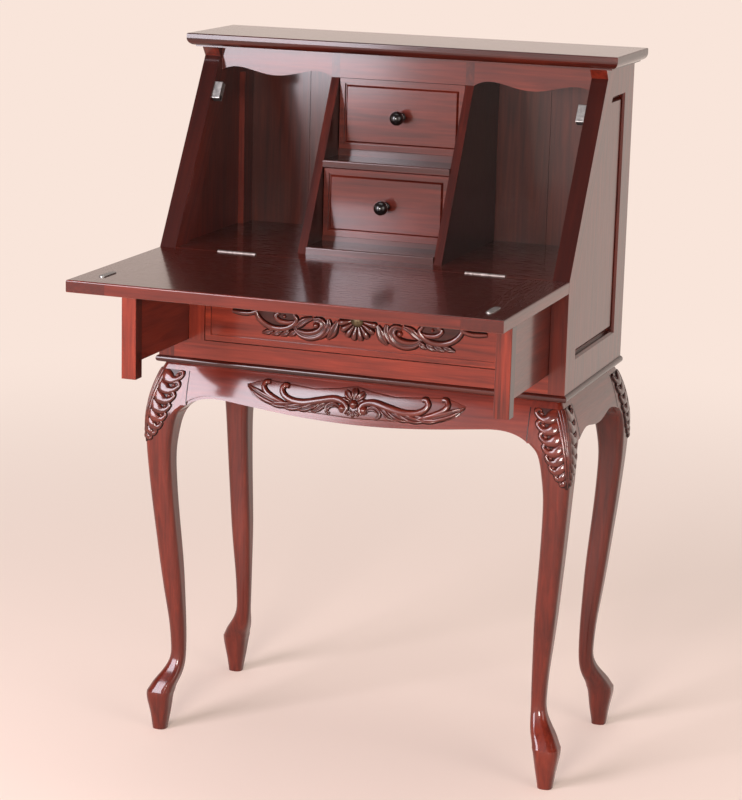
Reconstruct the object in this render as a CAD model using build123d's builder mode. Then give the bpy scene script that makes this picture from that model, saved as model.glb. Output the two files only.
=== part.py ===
from build123d import *
import math
import os

os.makedirs("parts", exist_ok=True)

# A small fall-front secretary desk on cabriole legs, in millimetres.
# +X is to the right of a person at the desk, +Y runs back into the case and +Z is up.
# The origin is on the floor, midway across and midway from the open lid's front edge to the
# rearmost point of the rear knees. The desk stands with its lid down on two pulled-out lopers.

# ---- Driving sizes -------------------------------------------------------------------------

# Case carcass
case_width = 610.0
case_depth = 301.0
side_thickness = 24.0
stile_width = 24.0
front_thickness = 20.0
bottom_rail_height = 27.0
drawer_opening_height = 114.5
writing_thickness = 17.0
case_bottom_thickness = 12.0
back_thickness = 10.0
back_recess = 6.0
back_seam_x = 188.0
back_seam_gap = 0.6

# Slanted front and top
slant_angle = 59.3
slant_end_gap = 3.2
ledge_rise = 13.2
ledge_forward = 9.8
top_side_overhang = 19.0
top_front_overhang = 15.0
top_edge_radius = 2.0
top_face_height = 5.0
top_ovolo_radius = 10.5
top_strip_thickness = 2.0

# Framed side: widths of the frame members round the sunk panel
side_bottom_rail = 45.5
side_top_rail = 44.0
side_front_stile = 49.0
side_rear_stile = 49.0
side_slant_rail = 42.5
panel_recess = 9.0
tongue_gap = 2.0
panel_edge_chamfer = 3.0

# Stand
stand_height = 563.5
stand_board_thickness = 10.0
stand_board_overhang = 4.0
post_width = 48.0
apron_height = 66.5
post_foot_rise = 7.6
apron_bead_height = 5.0
apron_bead_depth = 2.4
apron_inset = 18.0
rear_apron_thickness = 16.0
rear_apron_height = 58.0
knee_swell = 16.0
swell_radius = 230.0
knee_drop = 34.0
knee_ridge_radius = 8.0
neck_inset = 0.3
front_arch_rise = 20.0
side_arch_rise = 16.2
corner_block_width = 30.0
corner_block_height = 30.0
corner_screw_radius = 2.2
corner_screw_length = 52.0
corner_screw_head_radius = 4.2
corner_screw_head_height = 2.6
corner_screw_pocket = 12.0
corner_screw_pocket_gap = 1.0

# Cabriole leg below its post: height as a share of the free leg, how far the outer corner
# stands beyond the case corner, width of the square section, and its corner radius.
leg_stations = (
    (1.004, 13.1, 54.5, 8.0),
    (0.992, 14.1, 49.6, 8.0),
    (0.972, 15.2, 46.0, 8.5),
    (0.925, 15.9, 41.8, 9.0),
    (0.875, 15.0, 38.0, 9.0),
    (0.805, 12.6, 35.4, 9.0),
    (0.704, 8.4, 33.6, 9.0),
    (0.604, 3.6, 32.2, 9.0),
    (0.503, -1.3, 30.6, 9.0),
    (0.402, -7.0, 26.9, 9.0),
    (0.322, -11.5, 23.6, 9.0),
    (0.262, -13.4, 21.8, 8.5),
    (0.217, -12.4, 22.2, 8.5),
    (0.181, -4.5, 28.0, 9.0),
    (0.149, 6.5, 34.5, 11.0),
)
toe_station = (0.121, 14.0, 38.0, 12.0)
foot_stations = (
    (0.104, 14.4, 36.4, 12.0),
    (0.070, 11.6, 31.5, 11.0),
    (0.024, 8.0, 24.5, 9.5),
    (0.0, 6.2, 21.0, 8.0),
)

# Lid and hinges
lid_reach = 301.0
lid_end_width = 57.0
lid_edge_radius = 2.0
lid_case_gap = 1.0
closed_lid_gap = 0.8
end_joint_gap = 0.1
hinge_centre_x = 185.0
hinge_length = 58.0
hinge_knuckles = 5
knuckle_radius = 2.5
knuckle_gap = 0.4
knuckle_clearance = 0.3
leaf_thickness = 1.3
leaf_drop = 14.0
hinge_pin_radius = 1.0
pin_clearance = 0.05
pin_bore_margin = 1.0
hinge_screw_spacing = 20.0
hinge_screw_drop = 9.0
hinge_screw_radius = 1.25
hinge_screw_head_radius = 2.6
hinge_screw_length = 12.0
hinge_screw_tip_radius = 0.5
hinge_screw_point = 2.0
hinge_screw_end_gap = 1.0
screw_clearance = 0.05

# Lid catches
catch_low = 238.0
catch_length = 27.0
catch_width = 12.0
catch_depth = 12.0
catch_set_back = 3.2
catch_radius = 1.5
roller_radius = 3.6
roller_clearance = 0.1
strike_low = 220.0
strike_length = 42.0
strike_width = 9.0
strike_thickness = 1.2
strike_ball_radius = 2.5
strike_edge_gap = 4.5

# Lopers
loper_width = 22.0
loper_side_clearance = 0.6
loper_pull_length = 180.0
loper_block_thickness = 20.0
loper_block_drop = 25.0
loper_block_radius = 1.5
loper_back_gap = 10.3
loper_wall_thickness = 12.0
slide_clearance = 0.3

# Main drawer
drawer_front_gap = 1.2
drawer_side_thickness = 10.0
drawer_side_height = 98.0
drawer_back_gap = 17.0
drawer_bottom_thickness = 5.0
drawer_bottom_rise = 6.0
drawer_runner_width = 20.0
drawer_guide_height = 20.0
drawer_border = 8.5
drawer_field_depth = 2.5
main_knob_radius = 9.0
main_knob_projection = 8.0
main_knob_stem_radius = 2.5
main_knob_height = 50.5

# Interior
partition_thickness = 12.4
partition_half_gap = 95.6
partition_foot_depth = 40.0
unit_front_depth = 162.0
valance_height = 34.8
valance_thickness = 12.0
valance_peak = 7.0
valance_trough = 3.0
unit_base_thickness = 10.6
unit_shelf_thickness = 11.5
unit_nose_radius = 2.0
unit_shelf_depth = 100.0
lower_drawer_depth_line = 104.0
unit_rail_height = 6.9
upper_rail_height = 9.5
unit_rail_thickness = 14.0
lower_opening_height = 98.8
small_runner_width = 10.0
small_front_thickness = 12.0
small_front_gap = 1.0
small_wall_thickness = 7.0
small_wall_drop = 12.0
small_bottom_thickness = 4.0
small_bottom_rise = 4.0
small_back_gap = 4.0
field_border = 7.3
field_groove = 2.0
field_bevel = 2.5
field_groove_depth = 3.0
knob_radius = 10.3
knob_projection = 30.0
knob_flange_radius = 6.5
knob_flange_thickness = 3.0
knob_neck_radius = 4.2
knob_tenon_radius = 3.4
tenon_clearance = 0.05

# ---- Places worked out from the sizes ------------------------------------------------------

slant = math.radians(slant_angle)
slant_length = lid_reach + slant_end_gap
head_height = slant_length * math.sin(slant) + ledge_rise
ledge_depth = slant_length * math.cos(slant) - ledge_forward
top_thickness = top_edge_radius + top_face_height + top_ovolo_radius + top_strip_thickness

front_y = (lid_reach - case_depth - knee_swell) / 2
rear_y = front_y + case_depth
mid_y = (front_y + rear_y) / 2
half_width = case_width / 2
inner_x = half_width - side_thickness

case_z = stand_height + stand_board_thickness
rail_z = case_z + bottom_rail_height
floor_z = rail_z + drawer_opening_height
writing_z = floor_z + writing_thickness
top_under_z = writing_z + head_height
case_floor_z = case_z + case_bottom_thickness
apron_z = stand_height - apron_height
knee_z = apron_z - knee_drop
post_foot_z = apron_z + post_foot_rise

back_y = rear_y - back_recess - back_thickness
front_back_y = front_y + front_thickness
slot_width = loper_width + 2 * loper_side_clearance
slot_x = inner_x - slot_width
opening_x = slot_x - stile_width

post_x = half_width - post_width
post_front_y = front_y + post_width
post_rear_y = rear_y - post_width


def along_slant(distance, depth):
    """A place up the closed lid from the hinge line, and behind the lid's inner face."""
    y = front_y + distance * math.cos(slant) + depth * math.sin(slant)
    z = writing_z + distance * math.sin(slant) - depth * math.cos(slant)
    return y, z


def block(x, y, z, mode=Mode.ADD):
    """A square-edged block between its low and high values on each axis."""
    with Locations(((x[0] + x[1]) / 2, (y[0] + y[1]) / 2, (z[0] + z[1]) / 2)):
        Box(x[1] - x[0], y[1] - y[0], z[1] - z[0], mode=mode)


def save(made, name):
    """Labels a finished piece and writes it as one STEP file."""
    made.part.label = name
    export_step(made.part, f"parts/{name}.step")


# ---- Case sides ----------------------------------------------------------------------------
# Each side is a frame with a slanted front edge and a small ledge that the closed lid meets.
# A flat panel fills the frame, sunk on both its faces.

def side_outline():
    """The side's outline, from the foot of the front edge round to the foot of the rear one."""
    return (
        (front_y, case_z),
        (front_y, writing_z - closed_lid_gap / math.cos(slant)),
        along_slant(slant_length, closed_lid_gap),
        (front_y + ledge_depth, top_under_z),
        (rear_y, top_under_z),
        (rear_y, case_z),
    )


def panel_outline():
    """The opening in the side frame that the panel fills."""
    inset = closed_lid_gap + side_slant_rail
    low_y = front_y + side_front_stile
    high_z = top_under_z - side_top_rail
    bend_z = writing_z + (side_front_stile * math.sin(slant) - inset) / math.cos(slant)
    crest_y = front_y + (inset + (high_z - writing_z) * math.cos(slant)) / math.sin(slant)
    return (
        (low_y, case_z + side_bottom_rail),
        (low_y, bend_z),
        (crest_y, high_z),
        (rear_y - side_rear_stile, high_z),
        (rear_y - side_rear_stile, case_z + side_bottom_rail),
    )


with BuildPart() as right_side_frame:
    with BuildSketch(Plane.YZ.offset(inner_x)):
        Polygon(*side_outline(), align=None)
        Polygon(*panel_outline(), align=None, mode=Mode.SUBTRACT)
    extrude(amount=side_thickness)
    outer_face = right_side_frame.faces().sort_by(Axis.X)[-1]
    chamfer(outer_face.inner_wires()[0].edges(), panel_edge_chamfer)
save(right_side_frame, "right_side_frame")

with BuildPart() as left_side_frame:
    add(mirror(right_side_frame.part, about=Plane.YZ))
save(left_side_frame, "left_side_frame")

with BuildPart() as side_panels:
    with BuildSketch(Plane.YZ.offset(inner_x + panel_recess)):
        Polygon(*panel_outline(), align=None)
    extrude(amount=side_thickness - 2 * panel_recess)
    mirror(about=Plane.YZ)
save(side_panels, "side_panels")

# ---- Case boards ---------------------------------------------------------------------------
# Straight boards between the sides: the top with its rounded overhanging edge, the writing
# floor with hinge mortises in its front edge, the case bottom, and three upright back boards.
# The floor has a tongue at each end that fills the side panel's recess.

strip_half = half_width + top_side_overhang - top_ovolo_radius
top_front_y = front_y + ledge_depth - top_front_overhang
top_strip_z = top_under_z + top_strip_thickness

with BuildPart() as top_board:
    block(
        (-half_width - top_side_overhang, half_width + top_side_overhang),
        (top_front_y, rear_y),
        (top_strip_z, top_under_z + top_thickness),
    )
    upper_edges = top_board.edges().group_by(Axis.Z)[-1].sort_by(Axis.Y)[:-1]
    fillet(upper_edges, top_edge_radius)
    lower_edges = top_board.edges().group_by(Axis.Z)[0].sort_by(Axis.Y)[:-1]
    fillet(lower_edges, top_ovolo_radius)
    block(
        (-strip_half, strip_half),
        (top_front_y + top_ovolo_radius, rear_y),
        (top_under_z, top_strip_z),
    )
save(top_board, "top_board")

with BuildPart() as writing_floor:
    block((-inner_x, inner_x), (front_y + lid_case_gap, back_y), (floor_z, writing_z))
    block(
        (-inner_x - panel_recess, inner_x + panel_recess),
        (front_y + side_front_stile + tongue_gap, rear_y - side_rear_stile - tongue_gap),
        (floor_z, writing_z),
    )
    for side in (-1, 1):
        centre_x = side * hinge_centre_x
        half_mortise = hinge_length / 2 + knuckle_clearance
        block(
            (centre_x - half_mortise, centre_x + half_mortise),
            (front_y, front_y + knuckle_radius + knuckle_clearance),
            (writing_z - leaf_drop - knuckle_clearance, writing_z),
            mode=Mode.SUBTRACT,
        )
        with Locations(
            Plane(
                (centre_x, front_y + knuckle_radius + knuckle_clearance, writing_z - hinge_screw_drop),
                x_dir=(1, 0, 0),
                z_dir=(0, -1, 0),
            )
        ):
            with GridLocations(hinge_screw_spacing, 1, 3, 1):
                Hole(hinge_screw_radius + screw_clearance, depth=hinge_screw_length)
save(writing_floor, "writing_floor")

with BuildPart() as case_bottom:
    block((-inner_x, inner_x), (front_back_y, back_y), (case_z, case_floor_z))
save(case_bottom, "case_bottom")

with BuildPart() as back_boards:
    middle_half = back_seam_x - back_seam_gap / 2
    back_span = (back_y, back_y + back_thickness)
    back_rise = (case_z, top_under_z)
    block((-middle_half, middle_half), back_span, back_rise)
    for side in (-1, 1):
        ends = sorted((side * (back_seam_x + back_seam_gap / 2), side * inner_x))
        block(ends, back_span, back_rise)
save(back_boards, "back_boards")

# ---- Front frame and inner slides of the case ----------------------------------------------
# A bottom rail and two stiles frame the drawer; outside each stile is a slot for a loper.
# Behind them, walls part the drawer from the lopers, and hardwood strips carry and guide both.

with BuildPart() as front_bottom_rail:
    block((-inner_x, inner_x), (front_y, front_back_y), (case_z, rail_z))
save(front_bottom_rail, "front_bottom_rail")

with BuildPart() as front_stiles:
    block((opening_x, slot_x), (front_y, front_back_y), (rail_z, floor_z))
    mirror(about=Plane.YZ)
save(front_stiles, "front_stiles")

with BuildPart() as loper_walls:
    block((slot_x - loper_wall_thickness, slot_x), (front_back_y, back_y), (case_floor_z, floor_z))
    mirror(about=Plane.YZ)
save(loper_walls, "loper_walls")

with BuildPart() as loper_runners:
    block((slot_x, inner_x), (front_back_y, back_y), (case_floor_z, rail_z))
    mirror(about=Plane.YZ)
save(loper_runners, "loper_runners")

with BuildPart() as drawer_runners:
    block(
        (opening_x - drawer_runner_width, slot_x - loper_wall_thickness),
        (front_back_y, back_y),
        (case_floor_z, rail_z),
    )
    mirror(about=Plane.YZ)
save(drawer_runners, "drawer_runners")

with BuildPart() as drawer_guides:
    block(
        (opening_x, slot_x - loper_wall_thickness),
        (front_back_y, back_y),
        (rail_z, rail_z + drawer_guide_height),
    )
    mirror(about=Plane.YZ)
save(drawer_guides, "drawer_guides")

# ---- Stand: top board, cabriole legs and aprons --------------------------------------------
# The posts of the legs and the front and side aprons share one swelling outer curve, an arc
# that starts inside the case's face under the stand's top board and is fullest at the knee.

with BuildPart() as stand_top_board:
    block(
        (-half_width - stand_board_overhang, half_width + stand_board_overhang),
        (front_y - stand_board_overhang, rear_y),
        (stand_height, case_z),
    )
    nose_edges = stand_top_board.edges().group_by(Axis.Z)[0].sort_by(Axis.Y)[:-1]
    nose_edges += stand_top_board.edges().group_by(Axis.Z)[-1].sort_by(Axis.Y)[:-1]
    fillet(nose_edges, stand_board_thickness * 0.48)
save(stand_top_board, "stand_top_board")


def swell(z):
    """How far the swelling curve stands beyond the case's face at a height."""
    return knee_swell - swell_radius + math.sqrt(swell_radius**2 - (z - knee_z) ** 2)


def swelled_profile(low, high, inner):
    """A closed outline: flat at the inner distance, and the swelling arc on the outside."""
    middle = (low + high) / 2
    ThreePointArc((swell(low), low), (swell(middle), middle), (swell(high), high))
    Polyline((swell(high), high), (inner, high), (inner, low), (swell(low), low))


def leg_section(height, outer, width, radius):
    """One rounded square section of the front right leg, its outer corner on the diagonal."""
    with BuildSketch(Plane.XY.offset(height)) as section:
        with Locations((half_width + outer - width / 2, front_y - outer + width / 2)):
            RectangleRounded(width, width, radius)
    return section.sketch


corner_plane_x = Plane((half_width, 0, 0), x_dir=(1, 0, 0), z_dir=(0, -1, 0))
corner_plane_y = Plane((0, front_y, 0), x_dir=(0, -1, 0), z_dir=(-1, 0, 0))
screw_y = front_y + (apron_inset + post_width) / 2
screw_z = stand_height - corner_block_height / 2

with BuildPart() as front_right_leg:
    with BuildSketch(corner_plane_x):
        with BuildLine():
            swelled_profile(post_foot_z, stand_height, -post_width)
        make_face()
    extrude(amount=case_width, both=True)
    with BuildSketch(corner_plane_y):
        with BuildLine():
            swelled_profile(post_foot_z, stand_height, -post_width)
        make_face()
    extrude(amount=case_width, both=True, mode=Mode.INTERSECT)
    ridge = front_right_leg.edges().sort_by(lambda edge: edge.center().X - edge.center().Y)[-1]
    fillet(ridge, knee_ridge_radius)
    neck_swell = swell(post_foot_z) - neck_inset
    neck_width = post_width + neck_swell - neck_inset
    neck = leg_section(post_foot_z, neck_swell, neck_width, knee_ridge_radius + neck_inset)
    toe = leg_section(toe_station[0] * apron_z, *toe_station[1:])
    cabriole = [leg_section(share * apron_z, *rest) for share, *rest in leg_stations]
    loft([neck, *cabriole, toe])
    loft([toe] + [leg_section(share * apron_z, *rest) for share, *rest in foot_stations])
    with Locations(Plane((post_x, screw_y, screw_z), x_dir=(0, 1, 0), z_dir=(-1, 0, 0))):
        Hole(
            corner_screw_radius + screw_clearance,
            depth=corner_screw_length - corner_block_width + screw_clearance,
        )
save(front_right_leg, "front_right_leg")

with BuildPart() as front_left_leg:
    add(mirror(front_right_leg.part, about=Plane.YZ))
save(front_left_leg, "front_left_leg")

with BuildPart() as rear_right_leg:
    add(mirror(front_right_leg.part, about=Plane.XZ.offset(-mid_y)))
save(rear_right_leg, "rear_right_leg")

with BuildPart() as rear_left_leg:
    add(mirror(rear_right_leg.part, about=Plane.YZ))
save(rear_left_leg, "rear_left_leg")

# The front apron's lower edge is a long arch, lowest at its middle and at the posts. A narrow
# band along the edge is set back from the face. Points: share of the half width, share of rise.
front_edge_points = (
    (-1.0, 0.38),
    (-0.96, 0.68),
    (-0.86, 1.0),
    (-0.72, 0.92),
    (-0.4, 0.50),
    (0.0, 0.28),
    (0.4, 0.50),
    (0.72, 0.92),
    (0.86, 1.0),
    (0.96, 0.68),
    (1.0, 0.38),
)


def arched_body(set_back, raised):
    """The front apron with its face set back and its lower edge raised."""
    with BuildPart(mode=Mode.PRIVATE) as body:
        with BuildSketch(Plane((post_x, front_y + set_back, 0), x_dir=(0, -1, 0), z_dir=(-1, 0, 0))):
            with BuildLine():
                swelled_profile(apron_z, stand_height, set_back - apron_inset)
            make_face()
        extrude(amount=2 * post_x)
        with BuildSketch(Plane((0, front_y, 0), x_dir=(1, 0, 0), z_dir=(0, -1, 0))):
            with BuildLine():
                arch = Spline(
                    *[
                        (share * post_x, apron_z + raised + rise * front_arch_rise)
                        for share, rise in front_edge_points
                    ]
                )
                Polyline(
                    arch @ 1,
                    (post_x, apron_z - knee_drop),
                    (-post_x, apron_z - knee_drop),
                    arch @ 0,
                )
            make_face()
        extrude(amount=post_width, both=True, mode=Mode.SUBTRACT)
    return body.part


with BuildPart() as front_apron:
    add(arched_body(0, apron_bead_height))
    add(arched_body(apron_bead_depth, 0))
save(front_apron, "front_apron")

# Each side apron's lower edge has two peaks and a shallow dip between them.
side_span = post_rear_y - post_front_y
side_edge_points = (
    (0.0, 0.52),
    (0.08, 0.80),
    (0.19, 1.0),
    (0.33, 0.78),
    (0.5, 0.57),
    (0.67, 0.78),
    (0.81, 1.0),
    (0.92, 0.80),
    (1.0, 0.52),
)

with BuildPart() as side_aprons:
    with BuildSketch(Plane((half_width, post_front_y, 0), x_dir=(1, 0, 0), z_dir=(0, -1, 0))):
        with BuildLine():
            swelled_profile(apron_z, stand_height, -apron_inset)
        make_face()
    extrude(amount=-side_span)
    with BuildSketch(Plane((half_width, post_front_y, 0), x_dir=(0, 1, 0), z_dir=(1, 0, 0))):
        with BuildLine():
            arch = Spline(
                *[
                    (share * side_span, apron_z + rise * side_arch_rise)
                    for share, rise in side_edge_points
                ]
            )
            Polyline(
                arch @ 1,
                (side_span, apron_z - knee_drop),
                (0, apron_z - knee_drop),
                arch @ 0,
            )
        make_face()
    extrude(amount=post_width, both=True, mode=Mode.SUBTRACT)
    mirror(about=Plane.YZ)
save(side_aprons, "side_aprons")

with BuildPart() as rear_apron:
    block(
        (-post_x, post_x),
        (rear_y - apron_inset, rear_y - apron_inset + rear_apron_thickness),
        (stand_height - rear_apron_height, stand_height),
    )
save(rear_apron, "rear_apron")

screw_seat_x = post_x - corner_block_width + corner_screw_pocket

# Corner blocks join the legs to the front and rear aprons, each with one screw into the post.
with BuildPart() as corner_blocks:
    with BuildSketch(Plane.XY.offset(stand_height - corner_block_height)):
        with BuildLine():
            Polyline(
                (post_x, front_y + apron_inset),
                (post_x, post_front_y),
                (post_x - corner_block_width * 0.4, post_front_y),
                (post_x - corner_block_width, front_y + apron_inset + corner_block_width * 0.3),
                (post_x - corner_block_width, front_y + apron_inset),
                close=True,
            )
        make_face()
    extrude(amount=corner_block_height)
    pocket_half = corner_screw_head_radius + corner_screw_pocket_gap
    block(
        (post_x - corner_block_width, screw_seat_x),
        (screw_y - pocket_half, post_front_y),
        (screw_z - pocket_half, screw_z + pocket_half),
        mode=Mode.SUBTRACT,
    )
    with Locations(Plane((post_x, screw_y, screw_z), x_dir=(0, 1, 0), z_dir=(1, 0, 0))):
        Hole(corner_screw_radius + screw_clearance, depth=corner_block_width)
    mirror(about=Plane.XZ.offset(-mid_y))
    mirror(about=Plane.YZ)
save(corner_blocks, "corner_blocks")

with BuildPart() as corner_screws:
    with BuildSketch(Plane((screw_seat_x, screw_y, screw_z), x_dir=(0, 1, 0), z_dir=(1, 0, 0))):
        Circle(corner_screw_radius)
    extrude(amount=corner_screw_length - corner_block_width)
    with BuildSketch(Plane((screw_seat_x, screw_y, screw_z), x_dir=(0, 1, 0), z_dir=(-1, 0, 0))):
        Circle(corner_screw_head_radius)
    extrude(amount=corner_screw_head_height)
    chamfer(corner_screws.edges().group_by(Axis.X)[0], corner_screw_head_height / 2)
    mirror(about=Plane.XZ.offset(-mid_y))
    mirror(about=Plane.YZ)
save(corner_screws, "corner_screws")

# ---- Interior: partitions, valances and the shelves of the drawer nest ---------------------

with BuildPart() as partitions:
    with BuildSketch(Plane.YZ.offset(partition_half_gap)):
        Polygon(
            (front_y + partition_foot_depth, writing_z),
            (front_y + unit_front_depth, top_under_z - valance_height),
            (front_y + unit_front_depth, top_under_z),
            (back_y, top_under_z),
            (back_y, writing_z),
            align=None,
        )
    extrude(amount=partition_thickness)
    mirror(about=Plane.YZ)
save(partitions, "partitions")

partition_outer_x = partition_half_gap + partition_thickness
valance_span = inner_x - partition_outer_x
valance_foot_z = top_under_z - valance_height
valance_edge_points = (
    (0.0, 0.0),
    (0.14, valance_peak),
    (0.32, 0.2 * valance_peak),
    (0.5, -valance_trough),
    (0.68, 0.2 * valance_peak),
    (0.86, valance_peak),
    (1.0, 0.0),
)

with BuildPart() as side_valances:
    with BuildSketch(
        Plane((partition_outer_x, front_y + unit_front_depth, 0), x_dir=(1, 0, 0), z_dir=(0, -1, 0))
    ):
        with BuildLine():
            wave = Spline(
                *[(share * valance_span, valance_foot_z + rise) for share, rise in valance_edge_points]
            )
            Polyline(wave @ 1, (valance_span, top_under_z), (0, top_under_z), wave @ 0)
        make_face()
    extrude(amount=-valance_thickness)
    mirror(about=Plane.YZ)
save(side_valances, "side_valances")

unit_x = (-partition_half_gap, partition_half_gap)
unit_front_y = front_y + unit_front_depth
lower_front_y = front_y + lower_drawer_depth_line
unit_base_z = writing_z + unit_base_thickness
lower_opening_z = unit_base_z + unit_rail_height
shelf_z = lower_opening_z + lower_opening_height
upper_rail_z = shelf_z + unit_shelf_thickness
upper_opening_z = upper_rail_z + upper_rail_height

with BuildPart() as centre_valance:
    block(unit_x, (unit_front_y, unit_front_y + valance_thickness), (valance_foot_z, top_under_z))
save(centre_valance, "centre_valance")

with BuildPart() as unit_base:
    block(unit_x, (front_y + partition_foot_depth, back_y), (writing_z, unit_base_z))
    fillet(unit_base.edges().filter_by(Axis.X).sort_by(Axis.Y)[:2].sort_by(Axis.Z)[-1], unit_nose_radius)
save(unit_base, "unit_base")

with BuildPart() as unit_shelf:
    block(unit_x, (front_y + unit_shelf_depth, back_y), (shelf_z, upper_rail_z))
    fillet(unit_shelf.edges().filter_by(Axis.X).sort_by(Axis.Y)[:2], unit_nose_radius)
save(unit_shelf, "unit_shelf")

with BuildPart() as small_drawer_rails:
    block(
        unit_x,
        (lower_front_y, lower_front_y + unit_rail_thickness),
        (unit_base_z, lower_opening_z),
    )
    block(
        unit_x,
        (unit_front_y, unit_front_y + unit_rail_thickness),
        (upper_rail_z, upper_opening_z),
    )
save(small_drawer_rails, "small_drawer_rails")

with BuildPart() as small_drawer_runners:
    runner_x = (partition_half_gap - small_runner_width, partition_half_gap)
    block(runner_x, (lower_front_y + unit_rail_thickness, back_y), (unit_base_z, lower_opening_z))
    block(runner_x, (unit_front_y + unit_rail_thickness, back_y), (upper_rail_z, upper_opening_z))
    mirror(about=Plane.YZ)
save(small_drawer_runners, "small_drawer_runners")

# ---- Small drawers -------------------------------------------------------------------------
# Each has a raised-field front, two sides, a back and a thin bottom, and a turned ball knob
# whose tenon is glued into the front. They run on strips along the partitions.

def small_drawer(name, face_y, low_z, high_z):
    """Builds and writes the five pieces of one small drawer."""
    front_half = partition_half_gap - small_front_gap
    front_low = low_z + slide_clearance
    front_high = high_z - 2 * slide_clearance
    box_front_y = face_y + small_front_thickness
    box_rear_y = back_y - small_back_gap
    wall_top = front_high - small_wall_drop
    bottom_z = front_low + small_bottom_rise
    centre_z = (front_low + front_high) / 2
    wide = 2 * front_half
    tall = front_high - front_low
    groove_inset = 2 * field_border
    field_inset = 2 * (field_border + field_groove)
    face_plane = Plane((0, face_y, centre_z), x_dir=(1, 0, 0), z_dir=(0, -1, 0))

    with BuildPart() as front:
        block((-front_half, front_half), (face_y, box_front_y), (front_low, front_high))
        with BuildSketch(face_plane):
            Rectangle(wide - groove_inset, tall - groove_inset)
        extrude(amount=-field_groove_depth, mode=Mode.SUBTRACT)
        with BuildSketch(face_plane.offset(-field_groove_depth)) as field_foot:
            Rectangle(wide - field_inset, tall - field_inset)
        with BuildSketch(face_plane) as field_top:
            Rectangle(wide - field_inset - 2 * field_bevel, tall - field_inset - 2 * field_bevel)
        loft([field_foot.sketch, field_top.sketch])
        with Locations(face_plane):
            Hole(knob_tenon_radius + tenon_clearance)
    save(front, name + "_front")

    with BuildPart() as sides:
        block(
            (front_half - small_wall_thickness, front_half),
            (box_front_y, box_rear_y),
            (front_low, wall_top),
        )
        mirror(about=Plane.YZ)
    save(sides, name + "_sides")

    inner_half = front_half - small_wall_thickness
    with BuildPart() as back:
        block(
            (-inner_half, inner_half),
            (box_rear_y - small_wall_thickness, box_rear_y),
            (front_low, wall_top),
        )
    save(back, name + "_back")

    with BuildPart() as bottom:
        block(
            (-inner_half, inner_half),
            (box_front_y, box_rear_y - small_wall_thickness),
            (bottom_z, bottom_z + small_bottom_thickness),
        )
    save(bottom, name + "_bottom")

    ball_centre = knob_projection - knob_radius
    neck_end = ball_centre - math.sqrt(knob_radius**2 - knob_neck_radius**2)
    with BuildPart() as knob:
        with BuildSketch(Plane((0, face_y, centre_z), x_dir=(1, 0, 0), z_dir=(0, 0, 1))):
            with BuildLine():
                Polyline(
                    (0, small_front_thickness),
                    (knob_tenon_radius, small_front_thickness),
                    (knob_tenon_radius, 0),
                    (knob_flange_radius, 0),
                    (knob_flange_radius, -knob_flange_thickness / 2),
                    (knob_neck_radius, -knob_flange_thickness),
                    (knob_neck_radius, -neck_end),
                )
                ThreePointArc(
                    (knob_neck_radius, -neck_end),
                    (knob_radius, -ball_centre),
                    (0, -knob_projection),
                )
                Line((0, -knob_projection), (0, small_front_thickness))
            make_face()
        revolve(axis=Axis((0, face_y, centre_z), (0, 1, 0)))
    save(knob, name + "_knob")


small_drawer("lower_drawer", lower_front_y, lower_opening_z, shelf_z)
small_drawer("upper_drawer", unit_front_y, upper_opening_z, valance_foot_z)

# ---- Main drawer ---------------------------------------------------------------------------

main_half = opening_x - drawer_front_gap
main_low = rail_z + drawer_front_gap
main_high = floor_z - drawer_front_gap
box_low = rail_z + slide_clearance
box_rear = back_y - drawer_back_gap
main_knob_z = rail_z + main_knob_height
main_field_y = front_y + drawer_field_depth
main_knob_plane = Plane((0, main_field_y, main_knob_z), x_dir=(1, 0, 0), z_dir=(0, -1, 0))

with BuildPart() as main_drawer_front:
    block((-main_half, main_half), (front_y, front_back_y), (main_low, main_high))
    block(
        (-main_half + drawer_border, main_half - drawer_border),
        (front_y, main_field_y),
        (main_low + drawer_border, main_high - drawer_border),
        mode=Mode.SUBTRACT,
    )
    with Locations(main_knob_plane):
        Hole(main_knob_stem_radius + screw_clearance)
save(main_drawer_front, "main_drawer_front")

with BuildPart() as main_drawer_sides:
    block(
        (main_half - drawer_side_thickness, main_half),
        (front_back_y, box_rear),
        (box_low, box_low + drawer_side_height),
    )
    mirror(about=Plane.YZ)
save(main_drawer_sides, "main_drawer_sides")

main_inner = main_half - drawer_side_thickness
with BuildPart() as main_drawer_back:
    block(
        (-main_inner, main_inner),
        (box_rear - drawer_side_thickness, box_rear),
        (box_low, box_low + drawer_side_height),
    )
save(main_drawer_back, "main_drawer_back")

with BuildPart() as main_drawer_bottom:
    block(
        (-main_inner, main_inner),
        (front_back_y, box_rear - drawer_side_thickness),
        (box_low + drawer_bottom_rise, box_low + drawer_bottom_rise + drawer_bottom_thickness),
    )
save(main_drawer_bottom, "main_drawer_bottom")

with BuildPart() as main_drawer_knob:
    stem_length = front_thickness - drawer_field_depth
    with BuildSketch(Plane((0, main_field_y, main_knob_z), x_dir=(1, 0, 0), z_dir=(0, 0, 1))):
        with BuildLine():
            Polyline(
                (0, stem_length),
                (main_knob_stem_radius, stem_length),
                (main_knob_stem_radius, 0),
                (main_knob_radius * 0.6, 0),
                (main_knob_radius * 0.5, -main_knob_projection * 0.4),
                (main_knob_radius, -main_knob_projection * 0.55),
            )
            TangentArc(
                (0, -main_knob_projection),
                (main_knob_radius, -main_knob_projection * 0.55),
                tangent=(1, 0),
            )
            Line((0, -main_knob_projection), (0, stem_length))
        make_face()
    revolve(axis=Axis((0, main_field_y, main_knob_z), (0, 1, 0)))
save(main_drawer_knob, "main_drawer_knob")

# ---- Lopers --------------------------------------------------------------------------------
# Boards on edge that pull out beside the drawer to carry the lid, each faced with a block
# that stops against the case's front when the loper is pushed home.

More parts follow.
